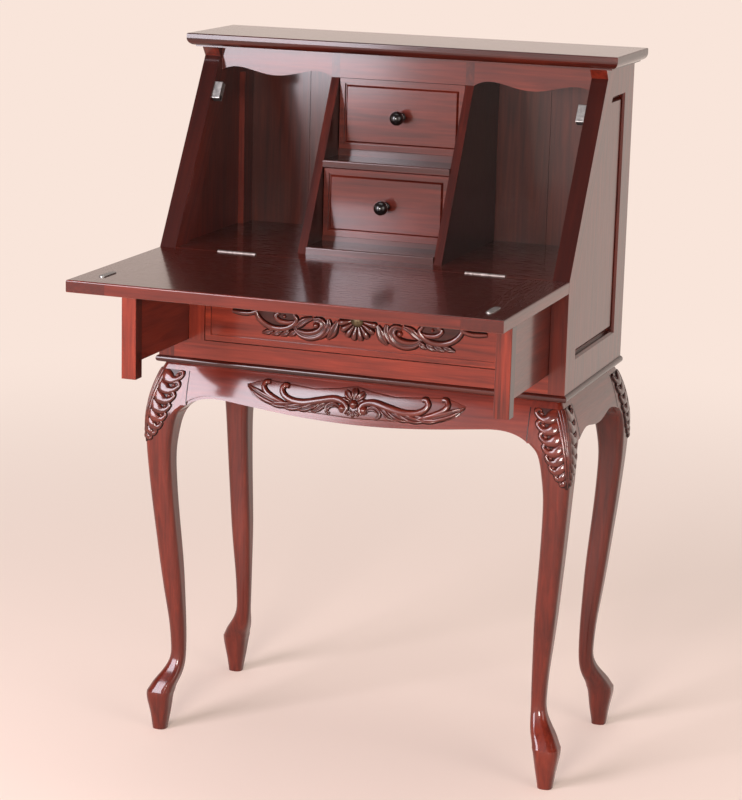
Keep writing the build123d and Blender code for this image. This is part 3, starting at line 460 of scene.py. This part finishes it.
class Carving:
    """Strips and beads gathered over one surface until they become one object."""

    def __init__(self, lay):
        self.lay = lay
        self.vertices = []
        self.faces = []
        self.hollows = []

    def net(self, rows):
        """Adds a net of rows whose points are (u, v, height, hollow)."""
        first = len(self.vertices)
        width = len(rows[0])
        for row in rows:
            for u, v, height, hollow in row:
                self.vertices.append(self.lay(u, v, height))
                self.hollows.append(hollow)
        for row in range(len(rows) - 1):
            for column in range(width - 1):
                corner = first + row * width + column
                self.faces.append((corner, corner + width, corner + width + 1, corner + 1))

    def strip(self, spine, profile=LEAF_PROFILE, steps=5):
        """A leaf or stem along points of (u, v, half width, height)."""
        line = smooth_line(spine, steps)
        rows = []
        for index, (u, v, half, height) in enumerate(line):
            back = line[max(index - 1, 0)]
            ahead = line[min(index + 1, len(line) - 1)]
            along_u, along_v = ahead[0] - back[0], ahead[1] - back[1]
            length = math.hypot(along_u, along_v) or 1.0
            side_u, side_v = -along_v / length, along_u / length
            half = max(half, LEAST_HALF)
            across = [(-half - FOOT_WIDTH, -FOOT_SINK, 1.0)]
            across += [(t * half, max(h * height, FOOT_HEIGHT), dark) for t, h, dark in profile]
            across += [(half + FOOT_WIDTH, -FOOT_SINK, 1.0)]
            rows.append([(u + side_u * off, v + side_v * off, rise, dark)
                         for off, rise, dark in across])
        self.net(rows)

    def bead(self, u, v, radius, height):
        """A round bead or the eye of a scroll."""
        rows = []
        for ring in range(BEAD_RINGS + 1):
            angle = math.pi / 2 * ring / BEAD_RINGS
            reach = radius * math.sin(angle) + BEAD_TIP
            rise = height * math.cos(angle) + FOOT_HEIGHT
            rows.append([(u + reach * math.cos(2 * math.pi * side / BEAD_SIDES),
                          v + reach * math.sin(2 * math.pi * side / BEAD_SIDES),
                          rise, 1.0 if ring == BEAD_RINGS else 0.0)
                         for side in range(BEAD_SIDES + 1)])
        self.net(rows)

    def piece(self, name, material, body, turn=None):
        """Makes the object and lets it ride on its body; turn mirrors it to another leg."""
        points = [Vector(point) * MM for point in self.vertices]
        if turn is not None:
            points = [turn(point) for point in points]
        mesh = bpy.data.meshes.new(name)
        mesh.from_pydata(points, [], self.faces)
        hollow = mesh.attributes.new("hollow", "FLOAT", "POINT")
        hollow.data.foreach_set("value", self.hollows)
        mesh.materials.append(material)
        shape = bmesh.new()
        shape.from_mesh(mesh)
        if turn is not None and turn(Vector((1, 0, 0))).x * turn(Vector((0, 1, 0))).y < 0:
            bmesh.ops.reverse_faces(shape, faces=shape.faces)
        bmesh.ops.remove_doubles(shape, verts=shape.verts, dist=MERGE_DISTANCE * MM)
        shape.to_mesh(mesh)
        shape.free()
        mesh.shade_smooth()
        carving = bpy.data.objects.new(name, mesh)
        bpy.context.scene.collection.objects.link(carving)
        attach(carving, body)


def shaded_hollows(material):
    """Gives a wood painted shade where the carving is hollow: a dark colour and a thin lacquer."""
    tree = material.node_tree
    shader = tree.nodes["Principled BSDF"]
    hollow = tree.nodes.new("ShaderNodeAttribute")
    hollow.attribute_name = "hollow"
    depth = hollow.outputs["Fac"]
    plain = shader.inputs["Base Color"].links[0].from_socket
    feed(tree, shader.inputs["Base Color"], mixed(tree, "RGBA", depth, plain, HOLLOW_SHADE))
    feed(tree, shader.inputs["Coat Weight"], ranged(tree, depth, 0.0, 1.0, 1.0, HOLLOW_SHADE_LACQUER))
    return material


carved_mahogany = shaded_hollows(mahogany("carved_mahogany", "X", CARVED_TONES))

# The leaf is cut on the front right leg's shape and mirrored to the other legs.
CASE_HALF = 305.0
CASE_FRONT = -8.0
STAND_MIDDLE = 142.5
RIDGE_RADIUS = 8.0
RIDGE_ARC = RIDGE_RADIUS * math.pi / 4
KNEE_TOP = 553.2
BACK_LIMIT = 308.8
RAY_PLACE = 500.0
RAY_DEPTH = 1.0
KNEE_FOOT = 430
KNEE_ROWS = 126
LEAF_ROWS = 28
LEAF_STEP = 4.0
LEAF_RISE = 0.9
# The ground between the leaf's lobes gets this much painted shade.
LEAF_GROUND_SHADE = 0.8
KNEE_EDGE = ((446, 2), (451, 9), (461, 18), (471, 26), (485, 32), (498, 35), (511, 38),
             (522, 39.5), (530, 40), (543, 39), (553.2, 34.5))
LOBE_START = 7.0
LOBE_DROP = 7.0
LOBE_MARGIN = 1.5
LOBE_LEAST_PROUD = 0.55
LOBE_SPINE = ((0.02, 1.3, 3.0, 1.8), (0.12, 0.5, 6.6, 3.0), (0.30, -0.3, 8.0, 3.7),
              (0.55, -0.8, 6.4, 3.5), (0.82, -0.6, 4.6, 3.1), (1.0, 0.3, 3.2, 2.8),
              (0.88, 1.0, 2.4, 2.6), (0.70, 0.75, 1.8, 2.4))
LOBES = ((544, 1.0), (529, 1.0), (514, 1.0), (499.5, 0.96), (486, 0.9), (473.5, 0.82),
         (463, 0.68), (454.5, 0.5))

leg_mesh = nodes["front_right_leg"].data
leg_tree = BVHTree.FromPolygons([vertex.co for vertex in leg_mesh.vertices],
                                [polygon.vertices for polygon in leg_mesh.polygons])


def knee_face(height):
    """How far the leg's outer side stands from the middle of the desk at a height."""
    start = Vector((RAY_PLACE * MM, RAY_DEPTH * MM, height * MM))
    hit = leg_tree.ray_cast(start, Vector((-1, 0, 0)))
    return hit[0].x / MM if hit[0] is not None else CASE_HALF


KNEE_FACES = [knee_face(KNEE_FOOT + step) for step in range(KNEE_ROWS)]


def lay_on_knee(across, height, rise):
    """A point at a distance round the corner: to the front below zero, to the side above it."""
    height = min(height, KNEE_TOP)
    index = min(max(height - KNEE_FOOT, 1.0), KNEE_ROWS - 3.0)
    whole = int(index)
    face = KNEE_FACES[whole] + (KNEE_FACES[whole + 1] - KNEE_FACES[whole]) * (index - whole)
    slope = (KNEE_FACES[whole + 1] - KNEE_FACES[whole - 1]) / 2
    inset = face - RIDGE_RADIUS
    if across < -RIDGE_ARC:
        place, out = (inset + across + RIDGE_ARC, face), (0.0, 1.0)
    elif across > RIDGE_ARC:
        place, out = (face, inset - across + RIDGE_ARC), (1.0, 0.0)
    else:
        angle = math.pi / 4 - across / RIDGE_RADIUS
        out = (math.cos(angle), math.sin(angle))
        place = (inset + RIDGE_RADIUS * out[0], inset + RIDGE_RADIUS * out[1])
    tilt = math.hypot(1.0, slope)
    x = place[0] + out[0] * rise / tilt
    forward = place[1] + out[1] * rise / tilt
    front = CASE_FRONT + CASE_HALF - forward
    return x, front, min(height - slope * rise / tilt, KNEE_TOP)


BOTH_SHARES = (1.0, 0.85, 0.6, 0.35, 0.15, 0.0, -0.15, -0.35, -0.6, -0.85, -1.0)
OUTER_SHARES = (0.1, 0.05, 0.0, -0.15, -0.35, -0.6, -0.85, -1.0)


def knee_leaf(sides, shares):
    """The leaf on the chosen sides of the corner: -1 the front, 1 the outer side."""
    knee = Carving(lay_on_knee)
    ground = []
    for step in range(LEAF_ROWS):
        height = KNEE_TOP - step * LEAF_STEP
        edge = read_table(KNEE_EDGE, height)
        row = []
        for share in shares:
            rise = -FOOT_SINK if share in (shares[0], shares[-1]) else LEAF_RISE - share * share
            row.append((-edge * share, height, rise, LEAF_GROUND_SHADE))
        ground.append(row)
    knee.net(ground)
    for side in sides:
        for height, size in LOBES:
            inner = LOBE_START * size
            run = read_table(KNEE_EDGE, height) - LOBE_MARGIN - inner
            drop = LOBE_DROP * size
            proud = LOBE_LEAST_PROUD + (1.0 - LOBE_LEAST_PROUD) * size
            lobe = [(inner + out * run, height + up * drop, half * size, rise * proud)
                    for out, up, half, rise in LOBE_SPINE]
            knee.strip(placed(lobe, side), STEM_PROFILE, steps=4)
            knee.bead(side * (inner + 0.74 * run), height + 0.25 * drop, 3.0 * size, 2.8)
        for spine in (((8.6, KNEE_TOP, 3.0, 2.2), (6.4, 525, 2.6, 2.7), (4.6, 495, 2.1, 2.6),
                       (3.0, 470, 1.5, 2.0), (1.4, 454, 0.7, 1.2)),
                      ((3.6, KNEE_TOP, 2.2, 2.6), (2.4, 520, 1.9, 2.9), (1.4, 490, 1.4, 2.6),
                       (0, 465, 1.2, 2.0))):
            knee.strip(placed(spine, side), STEM_PROFILE)
    knee.strip([(0, KNEE_TOP, 1.6, 2.6), (0, 520, 1.5, 2.9), (0, 490, 1.4, 2.8), (0, 465, 1.5, 2.2),
                (0, 452, 1.2, 1.6), (0, 445, 0.5, 0.6)], STEM_PROFILE)
    return knee


def knee_mirror(across, depth):
    """Moves the front right knee's carving to another leg."""
    def turn(point):
        y = point.y if depth > 0 else min(2 * STAND_MIDDLE * MM - point.y, BACK_LIMIT * MM)
        return Vector((point.x * across, y, point.z))
    return turn


whole_leaf = knee_leaf((-1, 1), BOTH_SHARES)
whole_leaf.piece("front_right_knee_leaf", carved_mahogany, "case")
whole_leaf.piece("front_left_knee_leaf", carved_mahogany, "case", knee_mirror(-1, 1))
outer_leaf = knee_leaf((1,), OUTER_SHARES)
outer_leaf.piece("rear_right_knee_leaf", carved_mahogany, "case", knee_mirror(1, -1))
outer_leaf.piece("rear_left_knee_leaf", carved_mahogany, "case", knee_mirror(-1, -1))

# ---- Apron carving -------------------------------------------------------------------------
# On the front apron's swell the carver left a shallow bed, and on it a small flower with three
# beads, from which leafy scrolls run out to both sides.

SWELL_RADIUS = 230.0
SWELL_TOP = 16.0
SWELL_HEIGHT = 463.0
BED_TOP = ((0, 557), (25, 551.5), (60, 547.5), (95, 550), (133, 553), (150, 549), (165, 544))
BED_FOOT = ((0, 511.5), (42, 513), (79, 514), (116, 517.5), (141, 522.5), (157, 531), (165, 544))
# The bed's profile rows are (share from top to foot, rise, painted shade); the shade darkens its
# edges.
BED_PROFILE = ((0.0, -0.1, 0.9), (0.025, 0.22, 0.35), (0.06, 0.25, 0.0), (0.3, 0.4, 0.0),
               (0.55, 0.6, 0.0), (0.8, 0.8, 0.0), (0.96, 0.9, 0.1), (0.99, 0.7, 0.5),
               (1.0, -0.1, 1.0))
BED_STEP = 5.0
BED_STEPS = 33


def lay_on_apron(across, height, rise):
    """A point on the front apron's swelled face."""
    above = height - SWELL_HEIGHT
    level = math.sqrt(SWELL_RADIUS ** 2 - above ** 2)
    depth = CASE_FRONT - (SWELL_TOP - SWELL_RADIUS + level)
    return across, depth - rise * level / SWELL_RADIUS, height + rise * above / SWELL_RADIUS


def petal(spine, angle, middle=0.0):
    """A spine that runs out at an angle from a middle height."""
    out_u, out_v = math.cos(angle), math.sin(angle)
    return [(u * out_u, middle + v * out_v, half, rise) for u, v, half, rise in spine]


APRON_FULL = 1.18
APRON_PROUD = 1.25


def swollen(spine, side):
    """A spine on one side of the apron's middle, made fuller and prouder."""
    return [(side * u, v, half * APRON_FULL, rise * APRON_PROUD) for u, v, half, rise in spine]


apron = Carving(lay_on_apron)
bed = []
for step in range(-BED_STEPS, BED_STEPS + 1):
    across = step * BED_STEP
    top = read_table(BED_TOP, abs(across))
    foot = read_table(BED_FOOT, abs(across))
    bed.append([(across, top + (foot - top) * share, rise, dark)
                for share, rise, dark in BED_PROFILE])
apron.net(bed)
for side in (-1, 1):
    for spine in (
            # the long S-scroll that curls up at its end
            ((13, 518, 2.6, 3.2), (9.5, 525, 3.4, 3.8), (15, 533, 4.2, 4.4), (30, 536, 4.8, 4.6),
             (52, 531.5, 5.0, 4.6), (74, 527, 4.8, 4.4), (93, 528, 4.4, 4.2),
             (105, 533.5, 4.2, 4.2), (110, 541, 4.0, 4.2), (106.5, 547, 3.4, 4.0),
             (100.5, 546.5, 3.0, 3.6)),
            # the second scroll behind it
            ((98, 521.5, 2.2, 3.0), (117, 527.5, 3.6, 3.8), (131, 534, 4.0, 4.2),
             (138.5, 542, 3.8, 4.2), (136, 549, 3.2, 3.8), (129.5, 549.5, 2.8, 3.4))):
        apron.strip(swollen(spine, side), STEM_PROFILE)
    for spine in (
            # the end leaf, the blades under the scroll and the small hook by the flower
            ((104, 521.5, 2.0, 2.8), (122, 524.5, 5.2, 3.8), (141, 531, 5.4, 3.8),
             (155, 537.5, 3.4, 3.2), (163.5, 542.5, 0.6, 1.8)),
            ((84, 525, 1.6, 2.6), (100, 521.5, 3.8, 3.6), (116, 520.5, 3.8, 3.4),
             (131, 522.5, 0.8, 1.8)),
            ((66, 527, 1.6, 2.6), (80, 521.5, 4.2, 3.8), (94, 518.5, 4.0, 3.6),
             (109, 518.5, 0.8, 1.8)),
            ((50, 529, 1.6, 2.6), (61, 523.5, 4.2, 3.8), (73, 518.5, 3.8, 3.6),
             (86, 516.5, 0.8, 1.8)),
            ((38, 531, 1.6, 2.6), (46.5, 525, 3.8, 3.8), (54, 519, 3.4, 3.4), (63, 516, 0.8, 1.8)),
            ((21, 525, 2.2, 3.0), (29, 528.5, 3.6, 3.8), (37, 525.5, 3.8, 3.8),
             (39.5, 519, 3.0, 3.4), (34.5, 515, 1.8, 2.6))):
        apron.strip(swollen(spine, side))
    apron.bead(side * 16, 524.5, 6.8, 7.0)
for spine, middle, angles in (
        # the flower's petals above, and its smaller leaves below
        (((6.5, 6.5, 2.4, 3.0), (12, 12, 5.0, 4.4), (18, 17.5, 5.6, 4.2), (22.5, 21.5, 3.0, 2.6)),
         532, (10, 50, 90, 130, 170)),
        (((4, 4, 2.2, 3.0), (9, 9, 3.6, 3.6), (13.5, 13.5, 1.2, 2.2)),
         526, (-130, -90, -50))):
    for angle in angles:
        apron.strip(petal(spine, math.radians(angle), middle), steps=4)
apron.bead(0, 531.5, 6.6, 7.6)
apron.piece("apron_carving", carved_mahogany, "case")

# ---- Joint lines ---------------------------------------------------------------------------
# Where an apron runs into a leg's post, the shade in the fine joint is painted: each line is a
# narrow dark strip down the swelled face.

POST_EDGE = 257.0
JOINT_HALF = 0.7
SIDE_JOINT_HALF = 1.5
JOINT_TOP = 553.0
JOINT_FOOT = 507.0
JOINT_STEPS = 11
JOINT_PROFILE = ((1.0, 0.0), (0.5, 0.14), (-0.5, 0.14), (-1.0, 0.0))
SIDE_JOINTS = (("front", 48.0), ("rear", 253.0))


def lay_on_side(back, height, rise):
    """A point on the right side apron's swelled face, at a distance from the case's front."""
    x, y, z = lay_on_apron(back, height, rise)
    return CASE_HALF + CASE_FRONT - y, CASE_FRONT + back, z


def joint_line(lay, place, half):
    """A carved net that is only painted shade, a dark line down one face."""
    line = Carving(lay)
    rows = []
    for step in range(JOINT_STEPS + 1):
        height = JOINT_FOOT + (JOINT_TOP - JOINT_FOOT) * step / JOINT_STEPS
        rows.append([(place + share * half, height, rise, 1.0) for share, rise in JOINT_PROFILE])
    line.net(rows)
    return line


for side, word in ((1, "right"), (-1, "left")):
    front_line = joint_line(lay_on_apron, side * POST_EDGE, JOINT_HALF)
    front_line.piece("front_" + word + "_joint_line", carved_mahogany, "case")
    for depth, place in SIDE_JOINTS:
        side_line = joint_line(lay_on_side, place, SIDE_JOINT_HALF)
        side_line.piece(depth + "_" + word + "_side_joint_line", carved_mahogany, "case",
                        None if side == 1 else knee_mirror(-1, 1))

# ---- Main drawer carving -------------------------------------------------------------------
# Round the drawer's brass knob opens a daisy. Broad leaves curl away from it to both sides
# inside an oval stem, which ends in a straight stalk.

FIELD_DEPTH = -5.5
DAISY_HEIGHT = 651.0


def lay_on_field(across, height, rise):
    """A point on the drawer front's sunk field, with height counted from the daisy's middle."""
    return across, FIELD_DEPTH - rise, DAISY_HEIGHT + height


OVAL_MIDDLE = 122.0
OVAL_WIDTH = 30.0
OVAL_HEIGHT = 22.0
OVAL_SIDES = 32
OVAL_RINGS = ((0.02, 0.12), (0.5, 0.12), (0.97, 0.12), (1.0, -0.1))
OVAL_SHADE = 0.6


def oval_ground(side):
    """The ground inside the oval stem, darkened as painted shade, as rings from its middle to its
    edge.
    """
    rings = []
    for share, rise in OVAL_RINGS:
        ring = []
        for turn in range(OVAL_SIDES + 1):
            angle = 2 * math.pi * turn / OVAL_SIDES
            ring.append((side * OVAL_MIDDLE + OVAL_WIDTH * share * math.cos(angle),
                         OVAL_HEIGHT * share * math.sin(angle), rise, OVAL_SHADE))
        rings.append(ring)
    return rings


drawer_leaves = Carving(lay_on_field)
for side in (-1, 1):
    drawer_leaves.net(oval_ground(side))
    for flip in (-1, 1):
        for spine in (
                # the oval stem round the scroll
                ((154, -2.5, 3.4, 3.4), (150.5, -9, 4.0, 3.8), (141, -17, 4.4, 4.0),
                 (127, -22, 4.6, 4.0), (111, -21.5, 4.4, 4.0), (98.5, -16, 4.2, 4.0),
                 (92, -7, 3.4, 3.8), (97, 0, 2.6, 3.0)),
                # the scroll inside it
                ((96, -10, 2.0, 2.8), (106, -12.5, 3.6, 3.4), (118, -11, 3.8, 3.6),
                 (125, -4.5, 3.4, 3.4), (119, 0, 2.8, 3.0))):
            drawer_leaves.strip(placed(spine, side, flip), STEM_PROFILE)
        for spine in (
                # the broad curled leaf, the blades by the daisy and the leaflets under the stem
                ((94, -21, 2.4, 3.0), (85, -26.5, 6.2, 4.4), (71, -28, 8.0, 4.8),
                 (58, -23.5, 8.0, 4.8), (51, -14, 6.8, 4.4), (56, -5, 5.0, 4.0),
                 (66, -5.5, 3.6, 3.4)),
                ((30, -4, 2.4, 3.0), (34, -13, 6.0, 4.2), (38, -22, 6.6, 4.4), (45, -31, 1.8, 2.4)),
                ((44, -2, 2.4, 3.0), (43, -12, 5.0, 4.0), (49, -22, 5.6, 4.2), (58, -32, 1.4, 2.2)),
                ((68, -3, 2.2, 2.8), (79, -7, 5.0, 3.8), (88, -14, 5.2, 3.8), (97, -20, 1.6, 2.4)),
                ((91, -22, 1.8, 2.4), (97, -27, 4.6, 3.6), (104, -31, 1.0, 2.0)),
                ((103, -24.5, 1.8, 2.4), (109, -28.5, 4.6, 3.6), (117, -32, 1.0, 2.0)),
                ((115, -26, 1.8, 2.4), (122, -29, 4.4, 3.6), (131, -31.5, 1.0, 2.0)),
                ((128, -26, 1.8, 2.4), (135.5, -28.5, 4.2, 3.4), (145, -31, 1.0, 2.0))):
            drawer_leaves.strip(placed(spine, side, flip))
        drawer_leaves.bead(side * 63, flip * -13, 4.6, 4.4)
        drawer_leaves.bead(side * 111, flip * -4, 2.8, 3.4)
    for spine in (
            # the two halves of the straight stalk
            ((191, -3.0, 2.4, 3.0), (178, -4.5, 3.6, 3.6), (165, -4.0, 3.4, 3.6), (152, 0, 3.4, 3.4)),
            ((189, 3.0, 2.2, 2.6), (177, 4.0, 3.0, 3.2), (165, 3.5, 2.6, 3.0), (152, 0, 2.4, 2.8))):
        drawer_leaves.strip(placed(spine, side), STEM_PROFILE)
PETALS = 16
DAISY_PETAL = ((9, 9, 1.8, 3.0), (16, 16, 3.2, 4.2), (23, 23, 4.6, 4.8), (27.5, 27.5, 4.2, 4.0),
               (29.8, 29.8, 2.4, 2.4))
for turn in range(PETALS):
    angle = 2 * math.pi * (turn + 0.5) / PETALS
    drawer_leaves.strip(petal(DAISY_PETAL, angle), STEM_PROFILE, steps=4)
drawer_leaves.piece("main_drawer_carving", carved_mahogany, "main_drawer")

# ---- Floor ---------------------------------------------------------------------------------
# A plain pale floor runs out to all sides. Near the desk it is lit and keeps the desk's shadow,
# and further out it goes over into the pale colour of the world, so that no edge shows.

PALE = (0.947, 0.783, 0.701, 1.0)
FLOOR_COLOUR = (0.80, 0.63, 0.55, 1.0)
FLOOR_GLOW = (0.26, 0.21, 0.18, 1.0)
FLOOR_ROUGHNESS = 0.9
FLOOR_SPECULAR = 0.1
FLOOR_SIZE = 120.0
FLOOR_DROP = 0.0004
FADE_FROM = 0.2
FADE_TO = 2.9


def seen_directly(tree):
    """One for rays from the camera, from glossy surfaces and through glass, zero for the rest."""
    path = tree.nodes.new("ShaderNodeLightPath")
    value = path.outputs["Is Camera Ray"]
    for kind in ("Is Glossy Ray", "Is Transmission Ray"):
        value = computed(tree, "MAXIMUM", value, path.outputs[kind])
    return value


pale_floor = bpy.data.materials.new("pale_floor")
pale_floor.use_nodes = True
floor_tree = pale_floor.node_tree
lit_floor = floor_tree.nodes["Principled BSDF"]
lit_floor.inputs["Base Color"].default_value = FLOOR_COLOUR
lit_floor.inputs["Roughness"].default_value = FLOOR_ROUGHNESS
lit_floor.inputs["Specular IOR Level"].default_value = FLOOR_SPECULAR
lit_floor.inputs["Emission Color"].default_value = FLOOR_GLOW
far_floor = floor_tree.nodes.new("ShaderNodeEmission")
far_floor.inputs["Color"].default_value = PALE
floor_seen = seen_directly(floor_tree)
feed(floor_tree, lit_floor.inputs["Emission Strength"], floor_seen)
reach = floor_tree.nodes.new("ShaderNodeVectorMath")
reach.operation = "LENGTH"
feed(floor_tree, reach.inputs[0], floor_tree.nodes.new("ShaderNodeTexCoord").outputs["Object"])
fade = ranged(floor_tree, reach.outputs["Value"], FADE_FROM, FADE_TO, 0.0, 1.0, smooth=True)
both_floors = floor_tree.nodes.new("ShaderNodeMixShader")
feed(floor_tree, both_floors.inputs[0], computed(floor_tree, "MULTIPLY", fade, floor_seen))
feed(floor_tree, both_floors.inputs[1], lit_floor.outputs["BSDF"])
feed(floor_tree, both_floors.inputs[2], far_floor.outputs["Emission"])
feed(floor_tree, floor_tree.nodes["Material Output"].inputs["Surface"],
     both_floors.outputs["Shader"])

bpy.ops.mesh.primitive_plane_add(size=FLOOR_SIZE, location=(0, 0, -FLOOR_DROP))
floor = bpy.context.object
floor.name = "floor"
bpy.ops.object.transform_apply(location=True)
floor.data.materials.append(pale_floor)

# ---- Lamps ---------------------------------------------------------------------------------
# A tall soft lamp stands in front on the left and a smaller one further off, nearly straight
# ahead. Weak ones on the right and above fill the shadows.


def soft_lamp(name, place, target, width, height, power, colour):
    """An area lamp that faces a place."""
    bpy.ops.object.light_add(type="AREA", location=place)
    lamp = bpy.context.object
    lamp.name = name
    lamp.data.shape = "RECTANGLE"
    lamp.data.size = width
    lamp.data.size_y = height
    lamp.data.energy = power
    lamp.data.color = colour
    lamp.rotation_euler = (Vector(target) - Vector(place)).to_track_quat("-Z", "Y").to_euler()


soft_lamp("key_lamp", (-1.75, -2.9, 1.55), (0, 0, 0.7), 1.35, 2.1, 125.0, (0.95, 0.91, 1.0))
soft_lamp("front_lamp", (0.30, -3.9, 1.15), (0, 0, 0.7), 1.0, 0.9, 115.0, (1.0, 0.94, 0.90))
soft_lamp("fill_lamp", (2.9, -1.4, 1.5), (0, 0, 0.6), 1.6, 2.0, 26.0, (1.0, 0.96, 0.93))
soft_lamp("top_lamp", (0.0, 0.4, 3.4), (0, 0.2, 0.6), 2.2, 2.2, 30.0, (1.0, 0.98, 0.97))

# Rays that show the room see pale walls and a dim ceiling, the others a weak even light.
CEILING = (0.09, 0.08, 0.08, 1.0)
ROOM_LIGHT = (0.13, 0.12, 0.125, 1.0)
WALL_TOP = 0.18
CEILING_FOOT = 0.55
world = bpy.data.worlds.new("studio")
bpy.context.scene.world = world
world.use_nodes = True
sky = world.node_tree
sky_height = apart(sky, sky.nodes.new("ShaderNodeTexCoord").outputs["Generated"], "Z")
room = mixed(sky, "RGBA", ranged(sky, sky_height, WALL_TOP, CEILING_FOOT, 0.0, 1.0), PALE, CEILING)
feed(sky, sky.nodes["Background"].inputs["Color"],
     mixed(sky, "RGBA", seen_directly(sky), ROOM_LIGHT, room))

# ---- Camera --------------------------------------------------------------------------------
# It stands in front on the right, a little above the desk's top, and looks down to the left
# through a long lens. Places are in metres, turns in degrees and the lens in millimetres.

CAMERA_PLACE = (1.22164, -3.35842, 1.35764)
CAMERA_YAW = 20.30
CAMERA_PITCH = -13.53
CAMERA_ROLL = 1.38
CAMERA_LENS = 116.35
CAMERA_SENSOR = 36.0
CAMERA_SHIFT = (0.0349, 0.0316)

bpy.ops.object.camera_add(location=CAMERA_PLACE)
camera = bpy.context.object
camera.name = "camera"
yaw = Matrix.Rotation(math.radians(CAMERA_YAW), 4, "Z")
tilt = Matrix.Rotation(math.radians(90 + CAMERA_PITCH), 4, "X")
roll = Matrix.Rotation(math.radians(CAMERA_ROLL), 4, "Z")
camera.rotation_euler = (yaw @ tilt @ roll).to_euler()
camera.data.lens = CAMERA_LENS
camera.data.sensor_width = CAMERA_SENSOR
camera.data.shift_x = CAMERA_SHIFT[0]
camera.data.shift_y = CAMERA_SHIFT[1]
bpy.context.scene.camera = camera
bpy.context.scene.view_settings.view_transform = "Standard"
